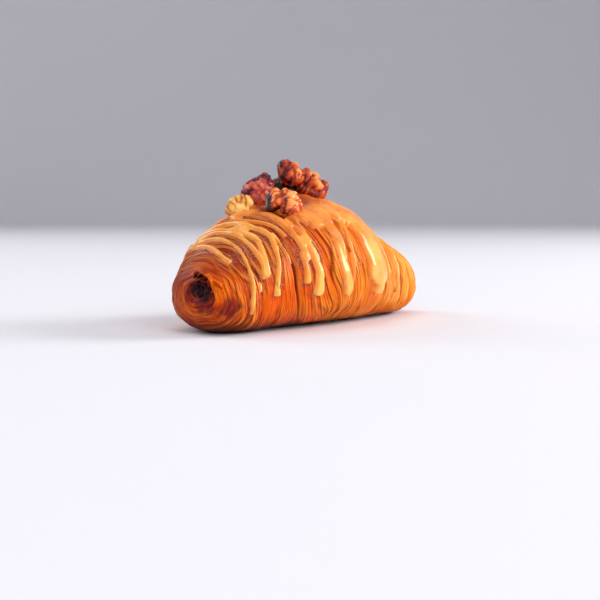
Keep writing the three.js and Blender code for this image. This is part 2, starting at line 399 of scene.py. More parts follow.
@dataclass(frozen=True)
class RollRule:
    """The shape of the baked roll as a rule of place along it and angle round it."""

    half_length: float = 74.0
    waist: float = 0.45
    base_sink: float = 1.6
    side_fullness: float = 0.92
    swell: float = 0.7
    stations: tuple[Station, ...] = (
        Station(-1.0, 26.5, 20.5, -3.5),
        Station(-0.75, 39.3, 27, -1),
        Station(-0.45, 50, 33, 0.6),
        Station(-0.15, 55.8, 38, 1),
        Station(0.15, 53, 36, 1),
        Station(0.45, 42.3, 29, 0.6),
        Station(0.75, 34.2, 22, -0.3),
        Station(1.0, 27, 17, -1),
    )
    near_tip: Tip = Tip(y=-9, z=20.5, bluntness=12)
    far_tip: Tip = Tip(y=-1, z=14.5, bluntness=9)
    slant_places: tuple[float, ...] = (-74, -60, -40, -16, 17, 40, 74)
    slants: tuple[float, ...] = (0, 3, 9, 24, 15, 5, 0)
    creases: tuple[Crease, ...] = (
        Crease(x=-62.5, depth=1.7, width=0.8),
        Crease(x=-56.5, depth=1.3, width=0.8),
        Crease(x=-49.5, depth=0.8, width=0.7),
        Crease(x=-40.7, depth=2.4, width=0.9),
        Crease(x=-30, depth=0.8, width=0.8),
        Crease(x=-17, depth=1.9, width=0.9),
        Crease(x=-4, depth=0.9, width=0.8),
        Crease(x=17.5, depth=2.9, width=1.0),
        Crease(x=28, depth=2.2, width=1.2),
        Crease(x=41, depth=2.2, width=1.2),
        Crease(x=53, depth=1.6, width=1.1),
    )
    lumps: Lumps = Lumps(seed=11)

    def outline(self, t: np.ndarray, key: str) -> np.ndarray:
        """Reads a smooth curve through the stations.

        Args:
            t: Places along the roll, -1 to 1.
            key: Which number of the stations to read.

        Returns:
            The curve's values, a cubic between neighbours with matched slopes.
        """
        places = np.array([s.t for s in self.stations])
        values = np.array([getattr(s, key) for s in self.stations])
        span = np.diff(places)
        slope = np.diff(values) / span
        inner = (slope[:-1] * span[1:] + slope[1:] * span[:-1]) / (span[1:] + span[:-1])
        tangent = np.concatenate(([slope[0]], inner, [slope[-1]]))
        k = np.clip(np.searchsorted(places, t) - 1, 0, len(places) - 2)
        w = span[k]
        s = (t - places[k]) / w
        start = (1 + 2 * s) * (1 - s) ** 2 * values[k] + s * (1 - s) ** 2 * w * tangent[k]
        end = s * s * (3 - 2 * s) * values[k + 1] + s * s * (s - 1) * w * tangent[k + 1]
        return start + end

    def seam_place(self, x: np.ndarray, angle: np.ndarray) -> np.ndarray:
        """Finds where the wrap at a point crosses the crown: wraps slant as they pass under the roll.

        Args:
            x: Places along the roll in millimetres.
            angle: Angles round the roll in radians.

        Returns:
            Places on the crown, in millimetres.
        """
        under = ((1 - np.cos(angle)) / 2) ** 2
        slant = np.interp(x, self.slant_places, self.slants)
        sway = 0.5 * np.sin(angle * 3 + x * 0.13) + 0.3 * np.sin(angle * 7 + x * 0.31)
        return x - slant * under + sway

    def crease_share(self, x: np.ndarray, angle: np.ndarray) -> np.ndarray:
        """How much of a crease each point is in: a soft slope on one side, an overhang on the other."""
        place = self.seam_place(x, angle)
        side = 0.45 + 0.55 * smooth_step(0.9, 0.2, np.cos(angle))
        share = np.zeros(place.shape)
        for crease in self.creases:
            away = (place - crease.x) * (1 if crease.x < 0 else -1) / crease.width
            steep = np.where(away < 0, 1.3, 0.6)
            depth = crease.depth * side * (0.85 + 0.25 * np.sin(angle * 2 + crease.x))
            share = share + depth * np.exp(-((away * steep) ** 2))
        return share

    def groove(self, x: np.ndarray, angle: np.ndarray) -> np.ndarray:
        """Depth of the creases, less the swell of the dough between them.

        Args:
            x: Places along the roll in millimetres.
            angle: Angles round the roll in radians.

        Returns:
            How far the crust sinks, in millimetres.
        """
        edges = np.array([c.x for c in self.creases])
        nearest = np.abs(self.seam_place(x, angle)[..., None] - edges).min(-1)
        return self.crease_share(x, angle) - self.swell * smooth_step(0, 7, nearest)

    def point(self, t: np.ndarray, angle: np.ndarray, relief: bool = True) -> np.ndarray:
        """Finds points of the crust.

        Args:
            t: Places along the roll, -1 to 1.
            angle: Angles from the top in radians, a quarter turn at +Y.
            relief: Whether creases and swells are in.

        Returns:
            Points in millimetres, shape (..., 3).
        """
        t, angle = np.broadcast_arrays(t, angle)
        near = t < 0
        bluntness = np.where(near, self.near_tip.bluntness, self.far_tip.bluntness)
        tip_z = np.where(near, self.near_tip.z, self.far_tip.z)
        tip_y = np.where(near, self.near_tip.y, self.far_tip.y)
        cap = np.sqrt(np.maximum(0, 1 - np.abs(t) ** bluntness))
        sunk = self.groove(self.half_length * t, angle) * cap if relief else 0.0
        top = tip_z + (self.outline(t, "height") - tip_z) * cap - sunk
        bottom = tip_z * (1 - cap) - self.base_sink * cap
        half = self.outline(t, "half_width") * cap - sunk
        middle = self.outline(t, "drift") * cap + tip_y * (1 - cap)
        waist = bottom + (top - bottom) * self.waist
        c, s = np.cos(angle), np.sin(angle)
        y = middle + half * np.sign(s) * np.abs(s) ** self.side_fullness
        z = np.where(c > 0, waist + (top - waist) * c, waist + (waist - bottom) * c)
        return np.stack([self.half_length * t, y, z], -1)

    @cached_property
    def meridian(self) -> tuple[np.ndarray, np.ndarray]:
        """Places along the roll, and the length of crust from the near tip to each."""
        t = -np.cos(np.linspace(0, math.pi, 4001))
        crown = self.point(t, np.zeros_like(t), relief=False)
        side = self.point(t, np.full_like(t, -math.pi / 2), relief=False)
        reach = 0.5 * (crown[:, 2] - side[:, 2]) + 0.5 * np.abs(side[:, 1] - crown[:, 1])
        step = np.hypot(np.diff(crown[:, 0]), np.diff(reach))
        return t, np.concatenate(([0.0], np.cumsum(step)))

    def place(self, along: np.ndarray) -> np.ndarray:
        """Finds t at a length of crust from the near tip."""
        t, length = self.meridian
        return np.interp(along, length, t)

    def length_at(self, x: np.ndarray) -> np.ndarray:
        """Finds the length of crust from the near tip to a place x in millimetres."""
        t, length = self.meridian
        return np.interp(np.asarray(x) / self.half_length, t, length)

    def normals(self, points: np.ndarray) -> np.ndarray:
        """Outward directions of a grid of crust points, first axis along the roll, second round it."""
        along = np.gradient(points, axis=0)
        around = np.gradient(points, axis=1)
        raw = np.cross(along, around)
        return raw / np.maximum(np.linalg.norm(raw, axis=-1, keepdims=True), 1e-9)


# ------------------------------------------------------------------------------------ shared effects


@dataclass
class Effects:
    """Shader node groups that several finishes use."""

    gloss_break: bpy.types.NodeTree = field(init=False)
    layer_lines: bpy.types.NodeTree = field(init=False)
    fine_grain: bpy.types.NodeTree = field(init=False)

    def __post_init__(self) -> None:
        """Builds each group once."""
        self.gloss_break = self.make_gloss_break()
        self.layer_lines = self.make_layer_lines()
        self.fine_grain = self.make_fine_grain()

    def make_gloss_break(self) -> bpy.types.NodeTree:
        """Uneven gloss: a roughness that drifts in patches and speckles."""
        inputs = {
            "Vector": SocketKind.VECTOR, "Roughness": SocketKind.NUMBER,
            "Spread": SocketKind.NUMBER, "Scale": SocketKind.NUMBER}
        group = GroupGraph("gloss_break", "ShaderNodeTree", inputs, {"Roughness": SocketKind.NUMBER})
        given = group.given
        patches = group.noise(given["Vector"], given["Scale"], 3)
        specks = group.noise(given["Vector"], group.math("MULTIPLY", given["Scale"], 9.0), 2)
        broad, small = group.math("MULTIPLY", patches, 0.7), group.math("MULTIPLY", specks, 0.3)
        both = group.math("ADD", broad, small)
        drift = group.math("MULTIPLY", group.math("SUBTRACT", both, 0.5), given["Spread"])
        group.give("Roughness", group.math("ADD", given["Roughness"], drift))
        return group.tree

    def make_layer_lines(self) -> bpy.types.NodeTree:
        """Thin lines of baked layers that follow the rings of the roll, used for bump and for painted
        shade in the gaps between layers.
        """
        inputs = {"Flow": SocketKind.VECTOR, "Pitch": SocketKind.NUMBER, "Wander": SocketKind.NUMBER}
        outputs = {"Line": SocketKind.NUMBER, "Streak": SocketKind.NUMBER}
        group = GroupGraph("layer_lines", "ShaderNodeTree", inputs, outputs)
        given = group.given
        split = group.put("ShaderNodeSeparateXYZ", {0: given["Flow"]})
        bend = group.math("MULTIPLY", group.noise(given["Flow"], 0.1, 2), given["Wander"])
        phase = group.math("ADD", group.math("DIVIDE", split.outputs[0], given["Pitch"]), bend)
        part = group.math("FRACT", phase)
        from_middle = group.math("ABSOLUTE", group.math("MULTIPLY_ADD", part, 2.0, -1.0))
        line = group.math("SUBTRACT", 1.0, from_middle)
        stretched = group.vector("MULTIPLY", given["Flow"], (1.0, 0.12, 0.12))
        group.give("Line", line)
        group.give("Streak", group.noise(stretched, 1.1, 3, 0.6))
        return group.tree

    def make_fine_grain(self) -> bpy.types.NodeTree:
        """Small pits and blisters."""
        inputs = {"Vector": SocketKind.VECTOR, "Scale": SocketKind.NUMBER}
        group = GroupGraph("fine_grain", "ShaderNodeTree", inputs, {"Height": SocketKind.NUMBER})
        given = group.given
        coarse = group.noise(given["Vector"], given["Scale"], 4, 0.6)
        fine = group.noise(given["Vector"], group.math("MULTIPLY", given["Scale"], 4.0), 2)
        group.give("Height", group.math("MULTIPLY_ADD", fine, 0.35, coarse))
        return group.tree


class Finish:
    """A material being made, with the nodes that every finish here starts from."""

    def __init__(self, name: str, effects: Effects) -> None:
        """Makes the material with one Principled shader."""
        self.material = bpy.data.materials.new(name)
        self.material.use_nodes = True
        self.material.node_tree.nodes.clear()
        self.graph = Graph(self.material.node_tree)
        self.effects = effects
        self.shader = self.graph.put("ShaderNodeBsdfPrincipled")
        output = self.graph.put("ShaderNodeOutputMaterial")
        self.graph.feed(output.inputs["Surface"], self.shader.outputs[0])
        self.place = self.graph.put("ShaderNodeTexCoord").outputs["Object"]

    def attribute(self, name: str, output: str = "Fac") -> bpy.types.NodeSocket:
        """Reads an attribute of the mesh."""
        return self.graph.put("ShaderNodeAttribute", attribute_name=name).outputs[output]

    def group(self, tree: bpy.types.NodeTree, inputs: dict[str, object]) -> bpy.types.Node:
        """Places one of the shared effects with its own values."""
        node = self.graph.put("ShaderNodeGroup")
        node.node_tree = tree
        for label, value in inputs.items():
            self.graph.feed(node.inputs[label], value)
        return node

    def set(self, **values: object) -> None:
        """Sets shader inputs, named with underscores for spaces."""
        for label, value in values.items():
            self.graph.feed(self.shader.inputs[label.replace("_", " ")], value)

    def uneven_gloss(self, roughness: object, spread: float, scale: float) -> None:
        """Gives the shader a roughness that drifts over the surface."""
        values = {"Vector": self.place, "Roughness": roughness, "Spread": spread, "Scale": scale}
        self.set(Roughness=self.group(self.effects.gloss_break, values).outputs[0])

    def bump(self, height: object, depth: float) -> None:
        """Gives the shader a bump of a depth in millimetres for a height of 0 to 1."""
        node = self.graph.put("ShaderNodeBump", {
            "Height": height, "Distance": depth * MM, "Strength": 1.0})
        self.set(Normal=node.outputs[0])


# ------------------------------------------------------------------------------------ crust


@dataclass(frozen=True)
class CrustFinish:
    """Baked, egg-washed dough: golden layer edges, grooves darkened to mahogany with painted shade and a
    scorched near tip.
    """

    lip: tuple = linear(255, 158, 50)
    pale: tuple = linear(255, 166, 62)
    gold: tuple = linear(250, 122, 8)
    baked: tuple = linear(232, 84, 2)
    mahogany: tuple = linear(142, 30, 6)
    # groove: the dark colour of painted shade in the creases, the layer gaps and under each layer's lip.
    groove: tuple = linear(104, 20, 4)
    maroon: tuple = linear(112, 26, 24)
    scorch: tuple = linear(44, 5, 10)
    film: tuple = linear(248, 156, 116)
    # base: the dark of the band along the floor, partly baked underside, partly painted shade.
    base: tuple = linear(86, 22, 8)

    def make(self, effects: Effects) -> bpy.types.Material:
        """Builds the material."""
        finish = Finish("baked_crust", effects)
        g = finish.graph
        flow = finish.attribute("flow", "Vector")
        lip, lip_shade, bake_and_shade = finish.attribute("lip"), finish.attribute("lip_shade"), finish.attribute("bake_and_shade")
        film, under, tip = finish.attribute("film"), finish.attribute("under"), finish.attribute("tip")
        shaded_crease = finish.attribute("shaded_crease")
        lines = finish.group(effects.layer_lines, {"Flow": flow, "Pitch": 0.9, "Wander": 1.5})
        line, streak = lines.outputs["Line"], lines.outputs["Streak"]
        patches = g.noise(finish.place, 48.0, 4, 0.6)
        tone = g.math("ADD", bake_and_shade, g.math("MULTIPLY", g.math("SUBTRACT", patches, 0.5), 0.8))
        tone = g.math("ADD", tone, g.math("MULTIPLY", g.math("SUBTRACT", streak, 0.5), 1.0))
        tone = g.math("MULTIPLY_ADD", tone, 0.75, 0.25)
        skin = g.ramp(tone, [
            (0.0, self.pale), (0.32, self.gold), (0.62, self.baked), (1.0, self.mahogany)])
        skin = g.blend(g.math("MULTIPLY", lip, 0.85), skin, self.lip)
        # Painted shade: thin dark lines in the gaps between layers.
        fine = g.math("MULTIPLY", g.ease(line, 0.5, 0.0), g.ease(streak, 0.4, 0.6, 0.14, 0.75))
        skin = g.blend(fine, skin, self.groove)
        # Painted shade under each layer's lip.
        skin = g.blend(g.math("MULTIPLY", lip_shade, 0.75), skin, self.groove)
        # Painted shade in the creases between wraps.
        skin = g.blend(g.math("MULTIPLY", shaded_crease, 0.8), skin, self.groove)
        crumbs = g.ease(g.noise(finish.place, 1500.0, 3), 0.52, 0.66)
        sugared = g.math("MULTIPLY", film, g.math("MULTIPLY_ADD", crumbs, 0.7, 0.02))
        skin = g.blend(sugared, skin, self.film)
        # Darker towards the floor: partly baked underside, partly painted shade.
        skin = g.blend(g.math("MULTIPLY", under, 0.88), skin, self.base)
        stained = g.math("MULTIPLY", g.ease(tip, 0.0, 0.62), g.ease(streak, 0.36, 0.58, 0.68, 1.0))
        skin = g.blend(stained, skin, self.maroon)
        skin = g.blend(g.ease(tip, 0.55, 0.95), skin, self.scorch)
        glazed = g.math("MULTIPLY", film, g.ease(crumbs, 0.0, 1.0, 0.35, 1.0))
        wet = g.math("MULTIPLY_ADD", glazed, 0.75, 0.05)
        finish.set(Base_Color=skin, Coat_Weight=wet, Coat_Roughness=0.18, Specular_IOR_Level=0.06)
        finish.uneven_gloss(0.44, 0.35, 160.0)
        grain = finish.group(effects.fine_grain, {"Vector": finish.place, "Scale": 420.0}).outputs[0]
        height = g.math("ADD", g.math("MULTIPLY", line, 0.4), g.math("MULTIPLY", grain, 0.35))
        height = g.math("ADD", height, g.math("MULTIPLY", streak, 0.6))
        finish.bump(height, 0.15)
        return finish.material


@dataclass(frozen=True)
class SheetSet:
    """Overlapping baked sheets at one spacing."""

    pitch: float
    depth: float
    wander: float
    seed: float


@dataclass(frozen=True)
class Patch:
    """A patch of crust: its centre on the roll and its reach along X, Y and Z, in millimetres."""

    centre: tuple[float, float, float]
    reach: tuple[float, float, float]

    def away(self, points: np.ndarray) -> np.ndarray:
        """How far points are from the centre, as a share of the reach."""
        return np.linalg.norm((points - np.array(self.centre)) / np.array(self.reach), axis=-1)


@dataclass(frozen=True)
class Stain:
    """A round scorched stain: its centre on the roll and how far it spreads, in millimetres."""

    centre: tuple[float, float, float]
    spread: float


@dataclass
class CroissantBody:
    """The baked roll: one closed skin with its wraps, its layers and its rolled near end."""

    rule: RollRule
    shift: np.ndarray
    rings: int = 740
    sides: int = 130
    layer_depth: float = 1.0
    sheets: tuple[SheetSet, ...] = (
        SheetSet(pitch=6.7, depth=0.62, wander=0.8, seed=3.0),
        SheetSet(pitch=4.9, depth=0.5, wander=0.9, seed=17.0),
        SheetSet(pitch=3.3, depth=0.36, wander=0.9, seed=41.0),
        SheetSet(pitch=1.9, depth=0.2, wander=0.9, seed=59.0),
    )
    swirl_pitch: float = 4.6
    swirl_depth: float = 0.9
    swirl_reach: float = 19.0
    lump_height: float = 0.5
    room_for_layers: float = 0.85
    layers_start: float = -4.0
    lean_steps: int = 16
    torn_patch: Patch = Patch(centre=(-70.5, -15.5, 18.5), reach=(4.5, 4.5, 5.0))
    torn_height: float = 1.1
    swollen_patch: Patch = Patch(centre=(-49, -28, 12), reach=(4.5, 12, 11))
    # A patch of painted light on the near end, above and towards -Y.
    painted_light_patch: Patch = Patch(centre=(-66, -18, 26), reach=(9, 9, 9))
    stains: tuple[Stain, ...] = (
        Stain(centre=(-72, -13, 12.8), spread=4.8),
        Stain(centre=(-68, -20, 11.5), spread=5.5),
        Stain(centre=(-73, -8, 13.5), spread=4.5),
    )
    stain_strength: float = 0.56
    seed: int = 5

    def grid(self) -> tuple[np.ndarray, np.ndarray, np.ndarray]:
        """Length along the crust, angle round it and points of the skin, without the two tips."""
        total = self.rule.meridian[1][-1]
        ring = (np.arange(self.rings) + 0.5) * total / self.rings
        angle = np.linspace(-math.pi, math.pi, self.sides, endpoint=False)
        ring, angle = np.meshgrid(ring, angle, indexing="ij")
        along = ring
        for _ in range(self.lean_steps):
            along = ring - self.lean(along, angle)
        return along, angle, self.skin(along, angle)

    def lean(self, along: np.ndarray, angle: np.ndarray) -> np.ndarray:
        """How far the layers lean along the roll at each point, in millimetres; none at the two tips."""
        total = self.rule.meridian[1][-1]
        x = self.rule.half_length * self.rule.place(along)
        to_tip = np.minimum(along, total - along)
        return (self.rule.seam_place(x, angle) - x) * smooth_step(4, 14, to_tip)

    def skin(self, along: np.ndarray, angle: np.ndarray) -> np.ndarray:
        """Finds points of the skin with its lumps and the swirl of the near end.

        Args:
            along: Length of crust from the near tip, in millimetres.
            angle: Angles from the top in radians.

        Returns:
            Points in millimetres, never below the base.
        """
        t = self.rule.place(along)
        points = self.rule.point(t, angle)
        plain = self.rule.point(t, angle, relief=False)
        crown = self.rule.point(t, np.zeros_like(angle))
        base = self.rule.point(t, np.full_like(angle, math.pi))
        centre = crown * 0.5 + base * 0.5
        out = points - centre
        out = out / np.maximum(np.linalg.norm(out, axis=-1, keepdims=True), 1e-6)
        hills = self.rule.lumps.at(plain, 11.0) + 0.5 * self.rule.lumps.at(plain + 40, 5.0)
        lift = self.lump_height * hills * smooth_step(3, 16, along) - self.room_for_layers
        lift = lift + self.torn_height * self.torn(points) * (0.2 + self.rule.lumps.at(plain + 30, 1.7))
        points = points + out * lift[..., None]
        points[..., 0] += self.swirl(along, angle, plain)
        points[..., 2] = np.maximum(points[..., 2], 0)
        return points

    def torn(self, points: np.ndarray) -> np.ndarray:
        """How much the crust is torn and blistered beside the heart of the near end, from 0 to 1."""
        return np.exp(-(self.torn_patch.away(points) ** 2))

    def swirl(self, along: np.ndarray, angle: np.ndarray, plain: np.ndarray) -> np.ndarray:
        """How far the rolled near end sinks inwards along its spiral, in millimetres."""
        wander = 0.25 * self.rule.lumps.at(plain + 90, 6.0)
        part = (along / self.swirl_pitch + angle / (2 * math.pi) + wander) % 1.0
        groove = np.exp(-(((part - 0.5) / 0.16) ** 2))
        fade = 1 - smooth_step(6, self.swirl_reach, along)
        heart = 0.9 * np.exp(-((along / 4.5) ** 2)) * (1 + 1.6 * self.rule.lumps.at(plain + 60, 2.0))
        return self.swirl_depth * groove * fade + heart

    def numbers(self, along: np.ndarray, angle: np.ndarray, points: np.ndarray) -> dict[str, np.ndarray]:
        """Works out what the finish reads at each point.

        Args:
            along: Length of crust from the near tip.
            angle: Angles from the top.
            points: Points of the skin.

        Returns:
            Attribute names to values: how baked, with painted light and shade, how scorched, how much is
                underneath, and the flow.
        """
        total = self.rule.meridian[1][-1]
        end = np.minimum(along, total - along)
        around = np.minimum(end, 12.0)
        x, z = points[..., 0], points[..., 2]
        ring = along + self.lean(along, angle)
        flow = np.stack([ring, around * np.cos(angle), around * np.sin(angle)], -1)
        lumps = self.rule.lumps
        # Baked tone mixed with painted light and shade: the near half's crown darker (partly painted shade
        # between the glaze runs), lighter towards the far end (partly painted light), darker near the
        # floor (partly painted shade).
        crown = smooth_step(0.1, 0.9, np.cos(angle)) * smooth_step(20, -30, x)
        far = 0.06 * smooth_step(-50, -35, x) + 0.34 * smooth_step(-28, 8, x)
        far = far + 0.12 * smooth_step(14, 26, x)
        low = smooth_step(10, 1, z) * (0.5 - 0.42 * smooth_step(-30, -5, x))
        bake_and_shade = 0.34 - far + low + 0.3 * crown + 0.12 * smooth_step(-10, -40, x)
        bake_and_shade = bake_and_shade + 0.2 * smooth_step(-45, -66, x) + 0.14 * lumps.at(points, 14.0)
        bake_and_shade = bake_and_shade + 0.34 * smooth_step(48, 74, x)
        bake_and_shade = bake_and_shade + 0.42 * smooth_step(22, 36, x) * lumps.at(points + 10, 5.0)
        # Painted shade on the near end's +Y side, and a painted light patch above it towards -Y.
        bake_and_shade = bake_and_shade + 0.5 * smooth_step(-58, -70, x) * smooth_step(-2, 16, points[..., 1])
        painted_light = np.exp(-(self.painted_light_patch.away(points) ** 2))
        bake_and_shade = bake_and_shade - 0.6 * self.torn(points) - 0.3 * painted_light
        # Darker band along the floor: partly the baked underside, partly painted shade.
        singe_and_shade_height = 4.8 + 2.2 * smooth_step(-30, -60, x)
        under = smooth_step(singe_and_shade_height, 0.8, z + 1.4 * lumps.at(points, 5.0))
        # Creases between wraps, darkened in the finish as painted shade.
        shaded_crease = smooth_step(0.8, 1.8, self.rule.crease_share(x, angle)) * smooth_step(3, 8, end)
        ragged = along + 2.8 * lumps.at(points + 20, 3.4) - 1.2 * np.cos(angle + 1.0)
        tip = 0.96 * smooth_step(9.2, 5.0, ragged)
        for stain in self.stains:
            away = np.linalg.norm(points - np.array(stain.centre), axis=-1)
            away = away + 1.8 * lumps.at(points, 2.6)
            dark = smooth_step(stain.spread * 1.3, stain.spread * 0.35, away)
            tip = np.maximum(tip, self.stain_strength * dark)
        return {
            "flow": flow, "ring": ring, "turn": angle / (2 * math.pi),
            "bake_and_shade": bake_and_shade, "under": under, "tip": tip, "shaded_crease": shaded_crease}

    def relief_share(self, along: np.ndarray, points: np.ndarray) -> np.ndarray:
        """How strongly the layers stand up: less underneath, at the heart and on swollen patches."""
        share = smooth_step(0.2, 4, points[..., 2]) * (0.35 + 0.65 * smooth_step(5, 30, along))
        share = share * (0.15 + 0.85 * smooth_step(0.7, 1.15, self.swollen_patch.away(points)))
        return share * np.clip(0.8 + 0.5 * self.rule.lumps.at(points + 70, 12.0), 0.2, 1.0)

    def faces(self) -> list[tuple[int, ...]]:
        """Quads between rings and a fan of triangles at each tip."""
        rings, sides = self.rings, self.sides
        start = np.arange(rings - 1)[:, None] * sides
        here = np.arange(sides)
        after = (here + 1) % sides
        quads = np.stack([start + here, start + after, start + sides + after, start + sides + here], -1)
        near, far = rings * sides, rings * sides + 1
        last = (rings - 1) * sides
        fans = [(near, int(b), int(a)) for a, b in zip(here, after)]
        fans += [(far, int(last + a), int(last + b)) for a, b in zip(here, after)]
        return [tuple(q) for q in quads.reshape(-1, 4)[:, ::-1].tolist()] + [f[::-1] for f in fans]

    def one_set(self, tree: GeometryGraph, sheets: SheetSet, place: object) -> tuple:
        """Wires one set of sheets: its height, its lips and the band of painted shade below them.

        Args:
            tree: The tree being wired.
            sheets: Spacing and depth of the set.
            place: Flow along the crust in millimetres, moved by the seed.

        Returns:
            Sockets for height, lip and the painted shade below the lip.
        """
        given = tree.given
        moved = tree.vector("ADD", place, (sheets.seed, sheets.seed * 2, 0.0))
        slow = tree.math("SUBTRACT", tree.noise(moved, 0.04, 1), 0.5)
        quick = tree.math("SUBTRACT", tree.noise(moved, 0.1, 1), 0.5)
        calm = tree.ease(tree.attribute("ring"), 6.0, 26.0, 0.35, 1.0)
        bend = tree.math("MULTIPLY", tree.math("MULTIPLY_ADD", slow, 4.0, quick),
                         tree.math("MULTIPLY", calm, sheets.wander))
        inward = tree.math("ABSOLUTE", tree.math("SUBTRACT", tree.attribute("ring"), given["Middle"]))
        phase = tree.math("ADD", tree.math("DIVIDE", inward, sheets.pitch), bend)
        phase = tree.math("ADD", phase, tree.attribute("turn"))
        part, number = tree.math("FRACT", phase), tree.math("FLOOR", phase)
        split = tree.put("ShaderNodeSeparateXYZ", {0: tree.attribute("flow", "FLOAT_VECTOR")})
        own = tree.put("ShaderNodeCombineXYZ", {
            0: tree.math("MULTIPLY", number, 7.31),
            1: tree.math("MULTIPLY", split.outputs[1], 0.11),
            2: tree.math("MULTIPLY", split.outputs[2], 0.11)}).outputs[0]
        strength = tree.ease(tree.noise(own, 1.0, 2), 0.36, 0.62)
        rise = tree.math("MULTIPLY", tree.ease(part, 0.0, 0.8), tree.ease(part, 0.8, 0.9, 1.0, 0.0))
        lip = tree.math("MULTIPLY", tree.ease(part, 0.5, 0.76), tree.ease(part, 0.79, 0.86, 1.0, 0.0))
        # Painted shade: a dark band just below each layer's lip.
        lip_shade = tree.math("MULTIPLY", tree.ease(part, 0.8, 0.87), tree.ease(part, 0.9, 1.0, 1.0, 0.0))
        height = tree.math("MULTIPLY", tree.math("MULTIPLY", rise, strength), sheets.depth)
        return height, tree.math("MULTIPLY", lip, strength), tree.math("MULTIPLY", lip_shade, strength)

    def laminate(self) -> GeometryGraph:
        """Geometry Nodes: raises the baked layers as overlapping sheets that follow the rings."""
        tree = GeometryGraph("laminate", {
            "Layer depth": SocketKind.NUMBER, "Middle": SocketKind.NUMBER, "Seed": SocketKind.NUMBER})
        given = tree.given
        flow = tree.attribute("flow", "FLOAT_VECTOR")
        place = tree.vector("ADD", flow, tree.put("ShaderNodeCombineXYZ", {0: given["Seed"]}).outputs[0])
        height, lip, lip_shade = self.one_set(tree, self.sheets[0], place)
        for sheets in self.sheets[1:]:
            more, more_lip, more_lip_shade = self.one_set(tree, sheets, place)
            height = tree.math("ADD", height, more)
            lip = tree.math("MAXIMUM", lip, more_lip)
            lip_shade = tree.math("MAXIMUM", lip_shade, more_lip_shade)
        relief = tree.attribute("relief")
        amount = tree.math("MULTIPLY", tree.math("MULTIPLY", height, relief), given["Layer depth"])
        raised = tree.push(given["Geometry"], amount)
        with_lip = tree.store(raised, "lip", tree.math("MULTIPLY", lip, relief))
        tree.close(tree.store(with_lip, "lip_shade", tree.math("MULTIPLY", lip_shade, relief)))
        return tree

    def build(self, caramel_edge: object, material: bpy.types.Material) -> bpy.types.Object:
        """Builds the roll.

        Args:
            caramel_edge: Function from (x, angle) to the distance inside the caramel's edge, for the film
                that the caramel leaves beside it.
            material: The crust's finish.

        Returns:
            The finished object.
        """
        along, angle, points = self.grid()
        numbers = self.numbers(along, angle, points)
        numbers["relief"] = self.relief_share(along, points)
        inside = caramel_edge(points[..., 0], np.degrees(angle))
        numbers["caramel"] = inside
        numbers["film"] = smooth_step(-3.4, 0.2, inside) * (0.6 + 0.6 * self.rule.lumps.at(points, 5.0))
        soaked = smooth_step(-12, -30, points[..., 0]) * smooth_step(-66, -57, points[..., 0])
        numbers["bake_and_shade"] = numbers["bake_and_shade"] + 0.6 * numbers["film"] * soaked
        total = self.rule.meridian[1][-1]
        tips = self.skin(np.array([0.0, total]), np.zeros(2))
        flat = np.concatenate([points.reshape(-1, 3), tips]) + self.shift
        ends = {"flow": np.array([[0, 0, 0], [total, 0, 0]]), "tip": np.array([0.95, 0])}
        values = {}
        for label, grid in numbers.items():
            rows = grid.reshape(-1, 3) if grid.ndim == 3 else grid.ravel()
            extra = ends.get(label, np.array([rows[0], rows[-1]]))
            values[label] = np.concatenate([rows, extra])
        piece = make_mesh("baked_roll", flat, self.faces(), values)
        sizes = {
            "Layer depth": self.layer_depth,
            "Middle": float(self.rule.length_at(self.layers_start)),
            "Seed": float(self.seed)}
        self.laminate().apply(piece, material, sizes)
        hand_in(piece, "croissant_body")
        return piece


